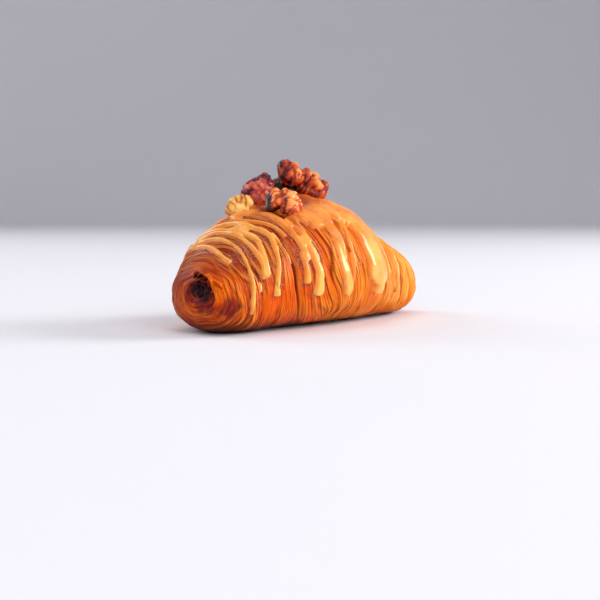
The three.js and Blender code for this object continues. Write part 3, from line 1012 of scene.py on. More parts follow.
@dataclass
class TipSwirl:
    """The rolled-up edge of the dough that shows at the near end, scorched and crumpled."""

    rule: RollRule
    shift: np.ndarray
    turns: float = 2.9
    inner: float = 0.8
    outer: float = 6.9
    width: float = 2.2
    thickness: float = 0.5
    crumple: float = 1.5
    proud: float = -0.7
    roundness: float = 0.024
    scorch: float = 8.0
    offset: tuple[float, float, float] = (0.0, 0.0, 0.0)
    seed: float = 4.0

    def tree(self) -> GeometryGraph:
        """Geometry Nodes: a spiral path, a thin sheet swept along it, crumpled and coloured."""
        numbers = ("Turns", "Inner radius", "Outer radius", "Width", "Thickness", "Crumple",
                   "Roundness", "Scorch")
        tree = GeometryGraph("tip_swirl", {
            **{label: SocketKind.NUMBER for label in numbers},
            "Centre": SocketKind.VECTOR, "Seed": SocketKind.NUMBER})
        given = tree.given
        path = tree.put("GeometryNodeCurveSpiral", {
            "Resolution": 90, "Rotations": given["Turns"], "Height": 0.0,
            "Start Radius": tree.math("MULTIPLY", given["Inner radius"], MM),
            "End Radius": tree.math("MULTIPLY", given["Outer radius"], MM)}).outputs[0]
        section = tree.put("GeometryNodeCurvePrimitiveQuadrilateral", {
            "Width": tree.math("MULTIPLY", given["Thickness"], MM),
            "Height": tree.math("MULTIPLY", given["Width"], MM)}).outputs[0]
        section = tree.put("GeometryNodeResampleCurve", {"Curve": section, "Count": 24}).outputs[0]
        sheet = tree.put("GeometryNodeCurveToMesh", {
            "Curve": path, "Profile Curve": section, "Fill Caps": True})
        turned = tree.put("GeometryNodeTransform", {
            "Geometry": sheet.outputs[0], "Rotation": (0.0, -math.pi / 2, 0.0),
            "Translation": tree.scaled(given["Centre"], MM)}).outputs[0]
        seeded = tree.put("ShaderNodeCombineXYZ", {0: given["Seed"]}).outputs[0]
        place = tree.vector("ADD", tree.position(), seeded)
        noise = tree.put("ShaderNodeTexNoise", {"Vector": place, "Scale": 0.33, "Detail": 3.0})
        shake = noise.outputs["Color"]
        offset = tree.scaled(tree.vector("SUBTRACT", shake, (0.5, 0.5, 0.5)),
                             tree.math("MULTIPLY", given["Crumple"], 2 * MM))
        away = tree.vector("SUBTRACT", tree.position(), given["Centre"])
        reach = tree.put("ShaderNodeVectorMath", {0: away}, operation="LENGTH").outputs["Value"]
        back = tree.math("MULTIPLY", tree.math("MULTIPLY", reach, reach), given["Roundness"])
        fall = tree.scaled(tree.put("ShaderNodeCombineXYZ", {0: back}).outputs[0], MM)
        crumpled = tree.put("GeometryNodeSetPosition", {
            "Geometry": turned, "Offset": tree.vector("ADD", offset, fall)}).outputs[0]
        ragged = tree.math("MULTIPLY_ADD", tree.noise(place, 0.3, 2), 7.0, reach)
        split = tree.put("ShaderNodeSeparateXYZ", {0: away})
        # Painted light: the scorch fades towards -Y and upwards, on the side where the light falls.
        upwards = tree.math("MULTIPLY", split.outputs[2], 0.12)
        lit_side = tree.math("MULTIPLY_ADD", split.outputs[1], -0.55, upwards)
        beyond = tree.math("SUBTRACT", tree.math("ADD", ragged, lit_side), given["Scorch"])
        scorched = tree.ease(beyond, 0.0, 3.5, 0.97, 0.15)
        with_tip = tree.store(crumpled, "tip", scorched)
        bake_and_shade = tree.math("MULTIPLY_ADD", tree.noise(place, 0.5, 2), 1.2, -0.2)
        with_bake = tree.store(with_tip, "bake_and_shade", bake_and_shade)
        lip = tree.ease(tree.noise(place, 0.8, 2), 0.45, 0.7, 0.0, 0.7)
        tree.close(tree.store(with_bake, "lip", lip))
        return tree

    def build(self, material: bpy.types.Material) -> bpy.types.Object:
        """Builds the swirl.

        Args:
            material: The crust's finish.

        Returns:
            The finished object.
        """
        tip = self.rule.near_tip
        centre = np.array([-self.rule.half_length + self.width / 2 - self.proud, tip.y, tip.z])
        centre = centre + np.array(self.offset) + self.shift
        piece = make_mesh("tip_swirl", np.zeros((1, 3)), [])
        sizes = {
            "Turns": self.turns, "Inner radius": self.inner, "Outer radius": self.outer,
            "Width": self.width, "Thickness": self.thickness, "Crumple": self.crumple,
            "Roundness": self.roundness, "Scorch": self.scorch,
            "Centre": tuple(centre), "Seed": self.seed}
        self.tree().apply(piece, material, sizes)
        hand_in(piece, "croissant_body")
        return piece


@dataclass
class CrustFlakes:
    """Thin curled flakes that lift off the layer edges."""

    length: float = 2.0
    width: float = 1.1
    thickness: float = 0.16
    smallest: float = 0.35
    largest: float = 0.85
    density: float = 0.009
    seed: int = 6

    def flake(self) -> bpy.types.Object:
        """One curled flake: a closed thin sheet, lying in XY and curling up along X."""
        along = np.linspace(-0.5, 0.5, 5)
        across = np.linspace(-0.5, 0.5, 3)
        a, c = np.meshgrid(along, across, indexing="ij")
        taper = 1 - 0.55 * np.abs(a * 2) ** 1.5
        x, y = a * self.length, c * self.width * taper
        z = 0.7 * a**2 * self.length - 0.9 * c**2 * self.width + 0.25 * a * c * self.length
        top = np.stack([x, y, z + self.thickness / 2], -1).reshape(-1, 3)
        bottom = top - np.array([0, 0, self.thickness])
        rows, columns = a.shape
        index = np.arange(rows * columns).reshape(rows, columns)
        under = index + rows * columns
        faces = []
        for i in range(rows - 1):
            for j in range(columns - 1):
                cell = (index[i, j], index[i + 1, j], index[i + 1, j + 1], index[i, j + 1])
                faces += [cell, tuple(k + rows * columns for k in cell[::-1])]
        rim = [index[i, 0] for i in range(rows - 1)]
        rim += [index[-1, j] for j in range(columns - 1)]
        rim += [index[i, -1] for i in range(rows - 1, 0, -1)]
        rim += [index[0, j] for j in range(columns - 1, 0, -1)]
        for first, second in zip(rim, rim[1:] + rim[:1]):
            faces.append((second, first, under.ravel()[first], under.ravel()[second]))
        points = np.concatenate([top, bottom])
        return make_mesh("flake", points, [tuple(int(k) for k in face) for face in faces])

    def tree(self) -> GeometryGraph:
        """Geometry Nodes: flakes set on the layer edges of the crust, turned along them."""
        tree = GeometryGraph("crust_flakes", {
            "Density": SocketKind.NUMBER, "Flake": SocketKind.OBJECT, "Seed": SocketKind.WHOLE})
        given = tree.given
        clear = tree.ease(tree.attribute("caramel"), -0.6, -1.4)
        edges = tree.math("MULTIPLY", tree.attribute("lip"), clear)
        edges = tree.math("MULTIPLY", edges, tree.math("SUBTRACT", 1.0, tree.attribute("under")))
        more = tree.math("MULTIPLY_ADD", tree.attribute("shaded_crease"), 0.6, edges)
        density = tree.math("MULTIPLY", tree.math("MULTIPLY", more, given["Density"]), 1e6)
        points = tree.put("GeometryNodeDistributePointsOnFaces", {
            "Mesh": given["Geometry"], "Density": density, "Seed": given["Seed"]})
        flake = tree.put(
            "GeometryNodeObjectInfo", {"Object": given["Flake"]}, transform_space="ORIGINAL")
        upright = tree.put(
            "FunctionNodeAlignEulerToVector", {"Vector": points.outputs["Normal"]}, axis="Z").outputs[0]
        along = tree.put(
            "FunctionNodeAlignEulerToVector", {"Rotation": upright, "Vector": (1.0, 0.0, 0.0)},
            axis="Y", pivot_axis="Z").outputs[0]
        tilt = tree.put("FunctionNodeRandomValue", {"Seed": given["Seed"]}, data_type="FLOAT_VECTOR")
        tree.feed(tilt.inputs[0], (-0.2, -0.1, 1.1))
        tree.feed(tilt.inputs[1], (0.2, 0.3, 2.0))
        turned = tree.put(
            "FunctionNodeRotateEuler", {"Rotation": along, "Rotate By": tilt.outputs[0]},
            space="LOCAL").outputs[0]
        size = tree.put("FunctionNodeRandomValue", {"Seed": given["Seed"]}, data_type="FLOAT")
        tree.feed(size.inputs[2], self.smallest)
        tree.feed(size.inputs[3], self.largest)
        set_out = tree.put("GeometryNodeInstanceOnPoints", {
            "Points": points.outputs["Points"], "Instance": flake.outputs["Geometry"],
            "Rotation": turned, "Scale": size.outputs[1]}).outputs[0]
        shade = tree.noise(tree.position(), 0.4, 2)
        real = tree.put("GeometryNodeRealizeInstances", {0: set_out}).outputs[0]
        with_lip = tree.store(real, "lip", tree.ease(shade, 0.35, 0.65, 0.0, 0.85))
        tree.close(tree.store(with_lip, "bake_and_shade", tree.math("MULTIPLY_ADD", shade, 1.2, -0.2)))
        return tree

    def build(self, crust: bpy.types.Object, material: bpy.types.Material) -> bpy.types.Object:
        """Builds the flakes on a finished crust.

        Args:
            crust: The baked roll, with its attributes.
            material: The crust's finish.

        Returns:
            The finished object.
        """
        flake = self.flake()
        piece = bpy.data.objects.new("crust_flakes", crust.data.copy())
        bpy.context.scene.collection.objects.link(piece)
        sizes = {"Density": self.density, "Flake": flake, "Seed": self.seed}
        self.tree().apply(piece, material, sizes)
        bpy.data.objects.remove(flake)
        hand_in(piece, "croissant_body")
        return piece


# ------------------------------------------------------------------------------------ caramel


@dataclass(frozen=True)
class CaramelFinish:
    """Glossy opaque caramel, amber round the nuts (partly painted shade from the nuts) and paler down the
    sides.
    """

    amber: tuple = linear(168, 60, 0)
    middle: tuple = linear(249, 148, 58)
    pale: tuple = linear(255, 192, 92)

    def make(self, effects: Effects) -> bpy.types.Material:
        """Builds the material."""
        finish = Finish("poured_caramel", effects)
        g = finish.graph
        pallor = finish.attribute("pallor")
        cloud = g.noise(finish.place, 95.0, 4, 0.55)
        tone = g.math("MULTIPLY_ADD", g.math("SUBTRACT", cloud, 0.5), 1.2, pallor)
        colour = g.ramp(tone, [(0.0, self.amber), (0.45, self.middle), (0.95, self.pale)])
        finish.set(Base_Color=colour, Coat_Weight=0.28, Coat_Roughness=0.17, Specular_IOR_Level=0.22,
                   Subsurface_Weight=0.12, Subsurface_Scale=0.002, Subsurface_Radius=(1.0, 0.5, 0.2))
        finish.uneven_gloss(0.24, 0.2, 120.0)
        ripple = finish.group(effects.fine_grain, {"Vector": finish.place, "Scale": 130.0}).outputs[0]
        finish.bump(ripple, 0.12)
        return finish.material


@dataclass(frozen=True)
class Run:
    """One run of caramel down a ring of the roll.

    route holds (angle, x) from its front end to its back end, width how wide it is, height how
    far it stands above the crust, and bulb how much it swells at its front end.
    """

    route: tuple[tuple[float, float], ...]
    width: float
    height: float = 1.1
    bulb: float = 0.2


@dataclass(frozen=True)
class Puddle:
    """A pool of caramel, or with a height of 0 a gap in one."""

    x: float
    angle: float
    half_length: float
    half_angle: float
    height: float
    squareness: float = 2.0


@dataclass
class CaramelPour:
    """The caramel: pools on the crown, the mound that holds the nuts and the runs down both sides."""

    rule: RollRule
    body: CroissantBody
    shift: np.ndarray
    step: float = 0.42
    skirt: float = 0.9
    over_layers: float = 0.7
    edge_roll: float = 1.0
    join: float = 0.6
    reach_along: tuple[float, float] = (-68, 44)
    reach_round: tuple[float, float] = (-142, 122)
    mean_radius: float = 30.0
    runs: tuple[Run, ...] = (
        Run(
            ((-33, -62.5), (-20, -62), (-8, -60.5), (22, -58.2), (34, -55.5), (46, -51), (64, -48)),
            2.1, 0.9),
        Run(
            ((-113, -58.5), (-90, -60), (-61, -59), (-33, -57), (2, -54), (26, -54.5), (84, -49)),
            1.8, 0.9, -0.3),
        Run(((-71, -54), (-40, -52.5), (-15, -51), (20, -50), (52, -51)), 2.1, 0.9),
        Run(((-71, -53.3), (-50, -50.5), (-32, -47.5), (-10, -49), (40, -47)), 2.9, 1.1),
        Run(((-84, -56.5), (-76, -56)), 1.6, 0.7),
        Run(
            ((-95, -48.5), (-82, -48), (-62, -46), (-48, -44.5), (-36, -42.5), (-16, -44), (92, -44)),
            2.6, 1.1, 0.1),
        Run(((-69, -39.5), (-52, -39.5), (-36, -41.5)), 1.7, 0.8, 0.0),
        Run(
            ((-71, -32.5), (-55, -32.5), (-40, -34.5), (-13, -33.5), (30, -35), (74, -37)),
            3.8, 1.1, 0.0),
        Run(
            ((-104, -27.2), (-85, -27.8), (-66, -28.5), (-50, -29.5), (-30, -26), (20, -27), (96, -29)),
            4.4, 1.5),
        Run(((-90, -33.5), (-66, -34.5)), 2.5, 1.2, 0.3),
        Run(((-57, -27), (-44, -29), (-33, -33)), 1.8, 0.8, 0.0),
        Run(((-44, -37.5), (-20, -38), (6, -40)), 1.5, 0.7, 0.0),
        Run(((-109, -11), (-95, -12.8), (-80, -14.2), (-60, -14.8), (-40, -17)), 6.2, 1.1, -0.25),
        Run(((-107, -8.5), (-84, -9), (-65, -9.2), (-52, -7.5), (-30, -8)), 2.3, 0.9, 0.1),
        Run(((-88, 10.5), (-76, 9.5), (-56, 8), (-30, 7)), 17.5, 1.1, 0.0),
        Run(((-106, 11.5), (-80, 12)), 6.8, 1.6, 0.1),
        Run(((-117, 32), (-91, 28), (-75, 23), (-40, 20)), 2.0, 0.5, 0.0),
        Run(((-104, 34), (-82, 36), (-66, 38), (-30, 36), (24, 34)), 2.0, 0.4, 0.0),
        Run(((-92, 24), (-60, 22), (-20, 21)), 2.2, 0.5, 0.0),
        Run(((10, -20), (60, -21), (108, -19)), 3.2, 1.2),
        Run(((10, -13), (70, -13), (88, -12)), 2.4, 1.0),
        Run(((10, -3), (60, -4), (112, -1)), 4.2, 1.3),
        Run(((10, 6), (60, 6), (94, 9)), 5.4, 1.3),
        Run(((10, 13), (60, 15), (104, 18)), 2.8, 1.1),
    )
    puddles: tuple[Puddle, ...] = (
        Puddle(-5, -4, 24, 45, 1.4, 3.0),
        Puddle(-9, 3, 12.5, 22, 3.0),
        Puddle(-48.5, -11, 3.6, 11, 1.0),
        Puddle(-31, -56, 3.4, 8, 1.0),
        Puddle(-33, 6, 7, 12, 1.4),
        Puddle(-18.5, -42, 5.5, 9, 1.3),
        Puddle(-29, -38, 4.5, 11, 1.1),
        Puddle(10.5, -72, 4.5, 9, 1.2),
    )
    gaps: tuple[Puddle, ...] = (
        Puddle(-11.2, -53, 1.0, 11, 0),
        Puddle(-5.4, -58, 1.9, 9, 0),
        Puddle(-29.4, -34, 0.9, 6.5, 0),
        Puddle(-26.3, -43, 0.8, 6, 0),
        Puddle(-32, -46, 0.9, 4, 0),
        Puddle(-25.5, -50, 0.9, 6, 0),
    )
    lumps: Lumps = Lumps(seed=23)

    def radius_at(self, x: np.ndarray) -> np.ndarray:
        """Mean radius of the roll, which turns degrees into millimetres round it."""
        t = np.clip(x / self.rule.half_length, -0.98, 0.98)
        return 0.5 * (self.rule.outline(t, "half_width") + 0.5 * self.rule.outline(t, "height"))

    def run_inside(
        self, run: Run, x: np.ndarray, degrees: np.ndarray, wobble: np.ndarray
    ) -> np.ndarray:
        """Distance inside the edge of one run, in millimetres, negative outside."""
        arc = math.radians(1) * self.radius_at(x)
        angles, places = (np.array(part, float) for part in zip(*run.route))
        centre = np.interp(degrees, angles, places)
        for spread in (-5.0, 5.0):
            centre = centre + np.interp(degrees + spread, angles, places)
        centre = centre / 3 + 0.25 * np.sin(degrees / 9 + places[0])
        front, back = angles[0], angles[-1]
        beyond = np.maximum(0, np.maximum(degrees - back, front - degrees)) * arc
        to_front = np.maximum(0, degrees - front) * arc
        swell = np.exp(-((to_front - 1.0) / 3.5) ** 2)
        half = run.width / 2 * (0.94 + run.bulb * swell + 0.2 * wobble)
        return half - np.hypot(x - centre, beyond)

    def puddle_inside(
        self, puddle: Puddle, x: np.ndarray, degrees: np.ndarray, wobble: np.ndarray
    ) -> np.ndarray:
        """Distance inside the edge of one pool, in millimetres, negative outside."""
        power = puddle.squareness
        along = (x - puddle.x) / puddle.half_length
        across = (degrees - puddle.angle) / puddle.half_angle
        out = (np.abs(along) ** power + np.abs(across) ** power) ** (1 / power)
        scale = min(puddle.half_length, puddle.half_angle * 0.5)
        return (1 - out) * scale + min(1.4, 0.25 * scale) * wobble

    def wobble(self, x: np.ndarray, degrees: np.ndarray) -> np.ndarray:
        """Uneven edges, -1 to 1."""
        spot = np.stack([x, degrees * 0.5, np.zeros_like(x)], -1)
        return 0.65 * self.lumps.at(spot, 6.0) + 0.35 * self.lumps.at(spot + 31, 2.6)

    def inside(self, x: np.ndarray, degrees: np.ndarray) -> np.ndarray:
        """Distance inside the caramel's edge, in millimetres, negative on bare crust."""
        return self.pour(x, degrees)[0]

    def pour(self, x: np.ndarray, degrees: np.ndarray) -> tuple[np.ndarray, np.ndarray]:
        """Melts runs and pools together.

        Args:
            x: Places along the roll in millimetres.
            degrees: Angles from the top.

        Returns:
            Distance inside the edge, and thickness, both in millimetres.
        """
        wobble = self.wobble(x, degrees)
        parts = [(self.run_inside(run, x, degrees, wobble), run.height) for run in self.runs]
        parts += [(self.puddle_inside(p, x, degrees, wobble), p.height) for p in self.puddles]
        melted, heights, weights = np.zeros(x.shape), np.zeros(x.shape), np.zeros(x.shape)
        for inside, height in parts:
            melted += np.exp(np.clip(inside * 2 / self.join, -40, 12))
            weight = np.exp(np.clip(inside * 1.1, -20, 5)) * height
            heights, weights = heights + weight * height, weights + weight
        edge = np.log(np.maximum(melted, 1e-12)) * self.join / 2
        for gap in self.gaps:
            edge = np.minimum(edge, -self.puddle_inside(gap, x, degrees, wobble))
        full = heights / np.maximum(weights, 1e-9)
        rise = np.clip(edge / (self.edge_roll + 0.5 * (full - 1)), 0, 1)
        return edge, full * np.sqrt(1 - (1 - rise) ** 2)

    def cells(self) -> tuple[np.ndarray, np.ndarray]:
        """Even grid over the part of the crust that caramel may reach."""
        first, last = (self.rule.length_at(x) for x in self.reach_along)
        along = np.arange(first, last, self.step)
        degrees = np.arange(*self.reach_round, math.degrees(self.step / self.mean_radius))
        return np.meshgrid(along, degrees, indexing="ij")

    def build(self, material: bpy.types.Material) -> bpy.types.Object:
        """Builds the caramel as one closed skin with rolled edges.

        Args:
            material: The caramel's finish.

        Returns:
            The finished object.
        """
        along, degrees = self.cells()
        crust = self.body.skin(along, np.radians(degrees))
        out = self.rule.normals(crust)
        edge, thickness = self.pour(crust[..., 0], degrees)
        ripples = 1 + 0.2 * self.lumps.at(crust, 7.0) + 0.14 * self.lumps.at(crust + 50, 3.2)
        poured = thickness * ripples + self.over_layers * np.minimum(edge / 0.8, 1)
        lift = np.where(edge > 0, poured, edge * 1.4)
        top = crust + out * np.maximum(lift, -self.skirt)[..., None]
        bottom = crust - out * (self.skirt + 0.15)
        pallor = self.pallor(along, degrees, thickness)
        used = edge > -0.6
        keep = used[:-1, :-1] | used[1:, :-1] | used[:-1, 1:] | used[1:, 1:]
        piece = self.closed_sheet(top, bottom, keep, pallor)
        piece.data.materials.append(material)
        hand_in(piece, "caramel_glaze")
        return piece

    def pallor(self, along: np.ndarray, degrees: np.ndarray, thickness: np.ndarray) -> np.ndarray:
        """How pale the caramel is: amber round the nuts, partly as painted shade from them, paler down the
        front and near the tip.
        """
        from_nuts = (along - self.rule.length_at(-16)) / 14
        # Darker amber round the nuts: partly painted shade from the nuts.
        pallor = 0.5 - 0.85 * np.exp(-(from_nuts**2 + (degrees / 25) ** 2))
        pallor = pallor + 0.26 * smooth_step(-55, -95, degrees) * smooth_step(0.6, 1.2, thickness)
        near = smooth_step(self.rule.length_at(-34), self.rule.length_at(-44), along)
        return pallor + 0.14 * near

    def closed_sheet(
        self, top: np.ndarray, bottom: np.ndarray, keep: np.ndarray, pallor: np.ndarray
    ) -> bpy.types.Object:
        """Closes two sheets of kept cells with walls along their border.

        Args:
            top: Upper points, shape (n, m, 3).
            bottom: Lower points, the same shape.
            keep: Which cells are kept, shape (n-1, m-1).
            pallor: How pale the caramel is at each upper point.

        Returns:
            The mesh object.
        """
        rows, columns = top.shape[:2]
        index = np.arange(rows * columns).reshape(rows, columns)
        under = index + rows * columns
        corners = [index[:-1, :-1], index[1:, :-1], index[1:, 1:], index[:-1, 1:]]
        upper = np.stack([c[keep] for c in corners], -1)
        lower = (upper + rows * columns)[:, ::-1]
        walls = []
        padded = np.pad(keep, 1)
        cell_sides = ((0, 1), (1, 2), (2, 3), (3, 0))
        neighbours = ((0, -1), (1, 0), (0, 1), (-1, 0))
        for (a, b), offset in zip(cell_sides, neighbours):
            beside = padded[1 + offset[0]:rows + offset[0], 1 + offset[1]:columns + offset[1]]
            border = keep & ~beside
            first, second = corners[a][border], corners[b][border]
            walls.append(np.stack([second, first, under.ravel()[first], under.ravel()[second]], -1))
        faces = np.concatenate([upper, lower, *walls])
        points = np.concatenate([top.reshape(-1, 3), bottom.reshape(-1, 3)]) + self.shift
        used, compact = np.unique(faces, return_inverse=True)
        numbers = {"pallor": np.concatenate([pallor.ravel(), pallor.ravel()])[used]}
        return make_mesh("caramel", points[used], compact.reshape(-1, 4).tolist(), numbers)


# ------------------------------------------------------------------------------------ pecans


class Skin(Enum):
    """How a candied pecan looks: its name, then its colours from deepest groove to palest ridge."""

    RED = ("red", linear(74, 10, 6), linear(140, 26, 8), linear(214, 82, 18), linear(252, 164, 84))
    TAWNY = ("tawny", linear(56, 14, 2), linear(150, 42, 10), linear(222, 90, 22), linear(252, 170, 92))
    PLUM = ("plum", linear(72, 8, 34), linear(136, 26, 50), linear(210, 76, 24), linear(230, 132, 116))
    PALE = ("pale", linear(112, 50, 10), linear(190, 104, 30), linear(240, 168, 72), linear(255, 206, 120))
    # A nut half hidden in the cluster: its whole skin darkened as painted shade.
    SHADED_OLIVE = ("shaded_olive", linear(44, 14, 2), linear(84, 40, 8), linear(120, 76, 26), linear(196, 150, 96))


@dataclass(frozen=True)
class PecanFinish:
    """A sugared pecan skin, pale on its ridges, partly as painted highlight, and darkened in its grooves
    as painted shade.
    """

    skin: Skin

    def make(self, effects: Effects) -> bpy.types.Material:
        """Builds the material."""
        label, groove, dark, body, ridge = self.skin.value
        finish = Finish(f"pecan_{label}", effects)
        g = finish.graph
        hollow, tone = finish.attribute("hollow"), finish.attribute("tone")
        cloud = g.noise(finish.place, 210.0, 4, 0.6)
        tone = g.math("MULTIPLY_ADD", g.math("SUBTRACT", cloud, 0.5), 0.9, tone)
        # Painted shade: darker where the surface is hollow.
        tone = g.math("MULTIPLY_ADD", hollow, -0.5, g.math("ADD", tone, 0.07))
        colour = g.ramp(tone, [(0.0, groove), (0.2, dark), (0.5, body), (0.8, ridge)])
        flecks = g.ease(g.noise(finish.place, 1300.0, 3), 0.6, 0.72)
        colour = g.blend(g.math("MULTIPLY", flecks, 0.3), colour, dark)
        finish.set(Base_Color=colour, Coat_Weight=0.34, Coat_Roughness=0.1, Specular_IOR_Level=0.14)
        finish.uneven_gloss(0.3, 0.25, 300.0)
        grain = finish.group(effects.fine_grain, {"Vector": finish.place, "Scale": 600.0}).outputs[0]
        finish.bump(grain, 0.16)
        return finish.material


@dataclass(frozen=True)
class Lobe:
    """A round-ended lobe of a nut, from one point to another in the nut's own axes.

    tone says how pale its skin is, from 0 in the deepest groove to 1 on the palest ridge.
    """

    start: tuple[float, float, float]
    end: tuple[float, float, float]
    radius: float
    tone: float = 0.5


@dataclass
class Pecan:
    """A candied pecan: lobes melted together, then wrinkled."""

    name: str
    node: str
    slot: str
    skin: Skin
    centre: tuple[float, float, float]
    along: tuple[float, float, float]
    facing: tuple[float, float, float]
    lobes: tuple[Lobe, ...]
    seed: int
    shift: np.ndarray
    plump: float = 0.45
    voxel: float = 0.3
    wrinkle: float = 0.36
    wrinkle_size: float = 0.16

    def axes(self) -> Matrix:
        """The nut's own axes: along it, across it, and out towards its ridged face."""
        long = Vector(self.along).normalized()
        across = Vector(self.facing).cross(long).normalized()
        return Matrix((long, across, long.cross(across))).transposed()

    def rough_form(self) -> bpy.types.Object:
        """Round-ended lobes, joined in one mesh round the nut's centre, in millimetres."""
        points, faces = [], []
        for lobe in self.lobes:
            start, end = self.in_place(lobe.start), self.in_place(lobe.end)
            more, sides = self.capsule(start, end, lobe.radius + self.plump)
            before = sum(len(p) for p in points)
            faces += [tuple(i + before for i in side) for side in sides]
            points.append(more)
        return make_mesh(self.name, np.concatenate(points), faces)

    def in_place(self, spot: tuple[float, float, float]) -> np.ndarray:
        """Turns a point in the nut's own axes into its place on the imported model, in millimetres."""
        return np.array(self.axes()) @ np.array(spot) + np.array(self.centre) + self.shift

    def tones(self, points: np.ndarray) -> np.ndarray:
        """Blends the lobes' tones at points of the melted surface."""
        total, weights = np.zeros(len(points)), np.zeros(len(points))
        for lobe in self.lobes:
            start, end = self.in_place(lobe.start), self.in_place(lobe.end)
            axis = end - start
            share = np.clip((points - start) @ axis / max(axis @ axis, 1e-9), 0, 1)
            away = np.linalg.norm(points - start - share[:, None] * axis, axis=1) - lobe.radius
            weight = np.exp(-np.clip(away, -2, 20) / 0.4)
            total, weights = total + weight * lobe.tone, weights + weight
        return total / weights

    def capsule(self, start: np.ndarray, end: np.ndarray, radius: float) -> tuple[np.ndarray, list]:
        """A closed round-ended tube.

        Args:
            start: Centre of its first end.
            end: Centre of its second end.
            radius: Its radius.

        Returns:
            Points and faces.
        """
        axis = Vector(end - start).normalized()
        turn = np.array(axis.to_track_quat("Z", "Y").to_matrix())
        sides, bands = 20, 8
        tilt = np.linspace(0, math.pi, 2 * bands + 1)[1:-1]
        ring = np.linspace(0, 2 * math.pi, sides, endpoint=False)
        tilt, ring = np.meshgrid(tilt, ring, indexing="ij")
        ball = np.stack([np.sin(tilt) * np.cos(ring), np.sin(tilt) * np.sin(ring), -np.cos(tilt)], -1)
        ball = np.concatenate([ball.reshape(-1, 3), [[0, 0, -1], [0, 0, 1]]]) * radius
        shift = np.where(ball[:, 2:3] > 0, end, start)
        rows = 2 * bands - 1
        faces = []
        for row in range(rows - 1):
            for k in range(sides):
                after = (k + 1) % sides
                lower, upper = row * sides, (row + 1) * sides
                faces.append((lower + k, lower + after, upper + after, upper + k))
        low, high, last = rows * sides, rows * sides + 1, (rows - 1) * sides
        faces += [(low, (k + 1) % sides, k) for k in range(sides)]
        faces += [(high, last + k, last + (k + 1) % sides) for k in range(sides)]
        return ball @ turn.T + shift, faces

    def wrinkles(self) -> GeometryGraph:
        """Geometry Nodes: winding grooves across the nut, and how hollow each point is."""
        tree = GeometryGraph("pecan_wrinkles", {
            "Along": SocketKind.VECTOR, "Depth": SocketKind.NUMBER, "Size": SocketKind.NUMBER,
            "Seed": SocketKind.NUMBER})
        given = tree.given
        place = tree.position()
        dot = tree.put("ShaderNodeVectorMath", {0: place, 1: given["Along"]}, operation="DOT_PRODUCT")
        squeeze = tree.scaled(given["Along"], tree.math("MULTIPLY", dot.outputs["Value"], 0.7))
        grooved = tree.vector("ADD", place, squeeze)
        seeded = tree.put("ShaderNodeCombineXYZ", {0: given["Seed"]}).outputs[0]
        moved = tree.vector("ADD", grooved, seeded)
        wave = tree.noise(moved, given["Size"], 2, 0.45)
        fold = tree.math("ABSOLUTE", tree.math("MULTIPLY_ADD", wave, 2.0, -1.0))
        ridge = tree.ease(fold, 0.0, 0.3)
        fine = tree.noise(moved, tree.math("MULTIPLY", given["Size"], 3.4), 3)
        folds = tree.math("SUBTRACT", 1.0, ridge)
        sunk = tree.math("ADD", folds, tree.math("MULTIPLY_ADD", fine, 0.9, -0.27))
        inwards = tree.math("MULTIPLY", given["Depth"], -1.0)
        pressed = tree.push(given["Geometry"], tree.math("MULTIPLY", sunk, inwards))
        tree.close(tree.store(pressed, "hollow", tree.math("MULTIPLY_ADD", sunk, 0.9, -0.05)))
        return tree

    def build(self, material: bpy.types.Material) -> bpy.types.Object:
        """Builds the nut.

        Args:
            material: Its finish.

        Returns:
            The finished object.
        """
        piece = self.rough_form()
        remesh = piece.modifiers.new("melt", "REMESH")
        remesh.mode = "VOXEL"
        remesh.voxel_size = self.voxel * MM
        relax = piece.modifiers.new("relax", "SMOOTH")
        relax.factor = 0.6
        relax.iterations = 5
        settle(piece)
        points = np.array([tuple(v.co) for v in piece.data.vertices]) / MM
        tones = self.tones(points).astype(np.float32)
        piece.data.attributes.new("tone", "FLOAT", "POINT").data.foreach_set("value", tones)
        sizes = {"Along": tuple(Vector(self.along).normalized()), "Depth": self.wrinkle,
                 "Size": self.wrinkle_size, "Seed": float(self.seed)}
        self.wrinkles().apply(piece, material, sizes)
        hand_in(piece, self.node)
        return piece


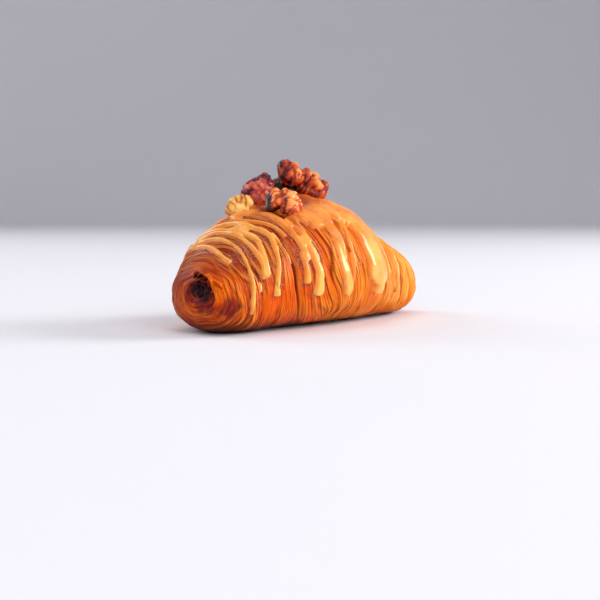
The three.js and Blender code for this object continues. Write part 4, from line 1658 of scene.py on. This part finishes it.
def pecans(shift: np.ndarray) -> tuple[Pecan, ...]:
    """The five nuts of the cluster.

    Args:
        shift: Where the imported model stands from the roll's rule, in millimetres.

    Returns:
        The nuts, the top one first.
    """
    return (
        Pecan(
            "pecan_top", "pecan_half_top", "candied_pecan", Skin.RED, shift=shift,
            centre=(0.3, 0.8, 65), along=(0.59, -0.665, -0.452), facing=(-0.74, -0.64, 0.2), seed=3,
            lobes=(
                Lobe((-7, 0, 0), (7, 0, 0), 4.0, 0.32),
                Lobe((-9.4, 1.2, 0), (-7.2, -2.2, 0.4), 3.9, 0.32),
                Lobe((-8.6, 2.6, 2.0), (-5.6, -2.6, 3.0), 1.9, 0.45),
                Lobe((-6.2, 3.2, 2.2), (-1.6, -1.4, 3.4), 2.0, 0.9),
                Lobe((-4.6, 1.0, 2.8), (-3.0, -3.4, 2.4), 1.5, 0.6),
                Lobe((-0.3, 3.8, 1.6), (3.6, 0.4, 2.8), 1.7, 0.5),
                Lobe((4.0, 3.6, 1.4), (8.0, 0.0, 2.8), 1.8, 1.0),
                Lobe((2.0, -3.6, 0.6), (9.0, -3.2, 0.6), 2.8, 0.52),
                Lobe((9.4, 1.4, 0), (10.0, -2.4, 0.4), 3.0, 0.68),
                Lobe((4.0, -4.4, 2.2), (10.0, -3.6, 1.8), 1.5, 0.6),
            ),
        ),
        Pecan(
            "pecan_front", "pecan_half_front", "candied_pecan", Skin.TAWNY, shift=shift,
            centre=(-26.6, -11.8, 54.6), along=(0.12, -0.83, -0.54), facing=(-0.55, -0.5, 0.67), seed=8,
            lobes=(
                Lobe((-3, -2, -1.5), (5, 1.4, -1.5), 3.0, 0.15),
                Lobe((-6.2, -1.8, -0.6), (-2.0, -6.2, -0.6), 2.1, 0.08),
                Lobe((-5.6, 0.6, 0.8), (-1.3, -2.6, 1.2), 2.3, 0.76),
                Lobe((-2.6, 2.4, 1.4), (6.0, -2.4, 1.2), 1.8, 0.5),
                Lobe((-0.4, 0.2, 2.0), (4.0, -3.8, 1.0), 1.2, 0.25),
                Lobe((0.9, 3.3, 1.5), (7.2, -0.1, 1.0), 1.7, 0.98),
                Lobe((-3.6, 4.8, 0), (0.1, 5.9, 0.2), 1.7, 0.8),
                Lobe((0.1, 5.9, 0.2), (6.2, 3.2, 0.2), 1.7, 0.85),
            ),
        ),
        Pecan(
            "pecan_back", "pecan_half_back", "candied_pecan_dark", Skin.PLUM, shift=shift,
            centre=(-19, 9.5, 60.5), along=(0.62, -0.55, 0.56), facing=(-0.6, -0.6, 0.53), seed=14,
            lobes=(
                Lobe((-4, 1, -0.5), (3, 0.5, -0.5), 3.8, 0.25),
                Lobe((-3.6, 4.2, -1.0), (4.6, 3.6, -1.0), 2.7, 0.22),
                Lobe((-6.4, 2.8, 0), (-4.6, 3.0, 0), 1.9, 0.2),
                Lobe((-4.2, 3.2, 2.0), (2.4, 0.8, 2.6), 1.5, 0.98),
                Lobe((2.0, 0.6, 2.0), (-4.6, -3.2, 2.0), 1.9, 0.74),
                Lobe((2.2, -2.6, 0.8), (-3.4, -4.8, 1.0), 2.3, 0.7),
                Lobe((-6.4, -3.6, 3.4), (-2.6, -7.0, 3.8), 2.1, 0.72),
                Lobe((-2.0, -6.6, 3.4), (2.4, -5.4, 3.0), 2.0, 0.66),
            ),
        ),
        Pecan(
            "pecan_pale", "pecan_piece_pale", "candied_pecan_pale", Skin.PALE, shift=shift,
            centre=(-31, 10, 53.4), along=(0.7, -0.5, 0.5), facing=(-0.6, -0.7, 0.4), seed=21,
            lobes=(
                Lobe((-3.0, 1.0, 0), (2.6, -0.3, 0), 3.3, 0.66),
                Lobe((-3.4, -1.0, 1.2), (-0.6, -3.0, 1.2), 2.4, 0.9),
                Lobe((-6.0, 0.6, 0.2), (-5.2, -1.4, 0.4), 1.5, 0.3),
                Lobe((-1.6, 2.6, 0.8), (1.6, 2.0, 0.8), 2.1, 0.6),
            ),
        ),
        Pecan(
            "pecan_small", "pecan_piece_small", "candied_pecan_dark", Skin.SHADED_OLIVE, shift=shift,
            centre=(-4, 12, 61.5), along=(0.7, -0.6, 0.3), facing=(-0.6, -0.6, 0.5), seed=27,
            lobes=(
                Lobe((-2.4, 0, 0), (1.8, 0.6, 0), 3.0, 0.25),
                Lobe((-2.2, 2.4, 0.6), (1.6, 2.4, 0.6), 2.0, 0.75),
                Lobe((-1.0, 0.4, 0), (6.5, -5.0, 0), 3.0, 0.2),
                Lobe((1.0, -1.6, 1.8), (5.6, -4.4, 1.8), 1.6, 0.4),
            ),
        ),
    )


# ------------------------------------------------------------------------------------ studio


@dataclass(frozen=True)
class SoftBox:
    """A square of soft light that looks at the croissant.

    aim is the direction from the croissant to the light, gain how bright it makes a white card that
    faces it at the croissant.
    """

    name: str
    aim: tuple[float, float, float]
    distance: float
    side: float
    gain: float
    colour: tuple[float, float, float] = (1.0, 1.0, 1.0)

    def build(self, target: Vector) -> None:
        """Hangs the light."""
        lamp = bpy.data.lights.new(self.name, "AREA")
        lamp.size = self.side
        lamp.energy = self.gain * (math.pi * self.distance) ** 2
        lamp.color = self.colour
        holder = bpy.data.objects.new(self.name, lamp)
        bpy.context.scene.collection.objects.link(holder)
        towards = Vector(self.aim).normalized()
        holder.location = target + towards * self.distance
        holder.rotation_euler = towards.to_track_quat("Z", "Y").to_euler()


@dataclass(frozen=True)
class Studio:
    """Pale floor that sweeps up into a round backdrop, soft light and the camera."""

    camera_place: tuple[float, float, float] = (-0.3798, -0.336, 0.0536)
    heading: float = 48.4
    tilt: float = -4.94
    lens: float = 66.0
    floor_radius: float = 2.6
    sweep: float = 1.2
    wall: float = 1.6
    floor_colour: tuple = linear(232, 231, 236)
    air_colour: tuple = linear(244, 244, 250)
    air_strength: float = 0.32
    lights: tuple[SoftBox, ...] = (
        SoftBox("key", (0.745, -0.579, 0.36), 1.9, 1.0, 0.95),
        SoftBox("front", (-0.25, -0.9, 0.55), 1.9, 1.2, 0.34),
        SoftBox("top", (-0.05, 0.1, 1.0), 1.9, 1.5, 0.26),
        SoftBox("fill", (-0.9, -0.35, 0.45), 1.8, 1.0, 0.12),
        SoftBox("back", (-0.2, 0.9, 0.5), 1.9, 1.0, 0.3),
    )

    def build(self) -> None:
        """Sets the whole studio."""
        self.build_camera()
        self.build_floor()
        self.build_air()
        for light in self.lights:
            light.build(Vector((0, 0, 0.03)))

    def build_camera(self) -> None:
        """Places the camera."""
        camera = bpy.data.objects.new("camera", bpy.data.cameras.new("camera"))
        camera.data.lens = self.lens
        camera.data.sensor_width = 36.0
        camera.data.clip_start = 0.01
        camera.location = self.camera_place
        camera.rotation_euler = (math.radians(90 + self.tilt), 0, -math.radians(self.heading))
        bpy.context.scene.collection.objects.link(camera)
        bpy.context.scene.camera = camera

    def build_floor(self) -> None:
        """Turns the floor's profile, flat and then rising, round the croissant."""
        bend = np.linspace(0, math.pi / 2, 13)
        reach = np.concatenate(([self.floor_radius], self.floor_radius + self.sweep * np.sin(bend)))
        height = np.concatenate(([0.0], self.sweep * (1 - np.cos(bend))))
        reach, height = np.append(reach[1:], reach[-1]), np.append(height[1:], self.sweep + self.wall)
        turn = np.linspace(0, 2 * math.pi, 96, endpoint=False)
        rings = np.stack([np.outer(reach, np.cos(turn)), np.outer(reach, np.sin(turn)),
                          np.outer(height, np.ones_like(turn))], -1).reshape(-1, 3) / MM
        sides = len(turn)
        faces = [tuple(range(sides))]
        for row in range(len(reach) - 1):
            for k in range(sides):
                after = (k + 1) % sides
                low, high = row * sides, (row + 1) * sides
                faces.append((low + k, high + k, high + after, low + after))
        floor = make_mesh("floor", rings, faces)
        material = bpy.data.materials.new("pale_floor")
        material.use_nodes = True
        shader = material.node_tree.nodes["Principled BSDF"]
        shader.inputs["Base Color"].default_value = self.floor_colour
        shader.inputs["Roughness"].default_value = 0.8
        shader.inputs["Specular IOR Level"].default_value = 0.2
        floor.data.materials.append(material)

    def build_air(self) -> None:
        """Fills the room with even light and sets plain colour handling."""
        world = bpy.data.worlds.new("studio_air")
        bpy.context.scene.world = world
        world.use_nodes = True
        air = world.node_tree.nodes["Background"]
        air.inputs[0].default_value = self.air_colour
        air.inputs[1].default_value = self.air_strength
        bpy.context.scene.view_settings.view_transform = "Standard"
        bpy.context.scene.view_settings.look = "None"


# ------------------------------------------------------------------------------------ assembly


def roll_shift(rule: RollRule) -> np.ndarray:
    """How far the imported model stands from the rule's own origin, in millimetres."""
    low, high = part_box("croissant_body")
    t, angle = np.meshgrid(np.linspace(-1, 1, 401), np.linspace(-math.pi, math.pi, 181), indexing="ij")
    points = rule.point(t, angle, relief=False).reshape(-1, 3)
    centre = (points.min(0) + points.max(0)) / 2
    packed = (np.array(low) + np.array(high)) / 2 / MM
    return np.array([packed[0] - centre[0], packed[1] - centre[1], 0.0])


def main() -> None:
    """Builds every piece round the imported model."""
    logging.basicConfig(level=logging.INFO, format="%(name)s: %(message)s")
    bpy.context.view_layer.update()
    Studio().build()
    rule = RollRule()
    shift = roll_shift(rule)
    log.info("the roll stands %.2f mm along X and %.2f mm along Y from its rule", shift[0], shift[1])
    effects = Effects()
    body = CroissantBody(rule, shift)
    caramel = CaramelPour(rule, body, shift)
    crust_finish = CrustFinish().make(effects)
    crust = body.build(caramel.inside, crust_finish)
    TipSwirl(rule, shift).build(crust_finish)
    TipSwirl(
        rule, shift, turns=1.3, inner=1.2, outer=4.2, width=1.8, thickness=0.4, crumple=1.4,
        roundness=0.06, scorch=1.5, offset=(1.0, -5.8, -1.2), seed=11.0).build(crust_finish)
    CrustFlakes().build(crust, crust_finish)
    caramel.build(CaramelFinish().make(effects))
    finishes: dict[Skin, bpy.types.Material] = {}
    for pecan in pecans(shift):
        if pecan.skin not in finishes:
            finishes[pecan.skin] = PecanFinish(pecan.skin).make(effects)
        pecan.build(finishes[pecan.skin])


if __name__ == "__main__":
    main()
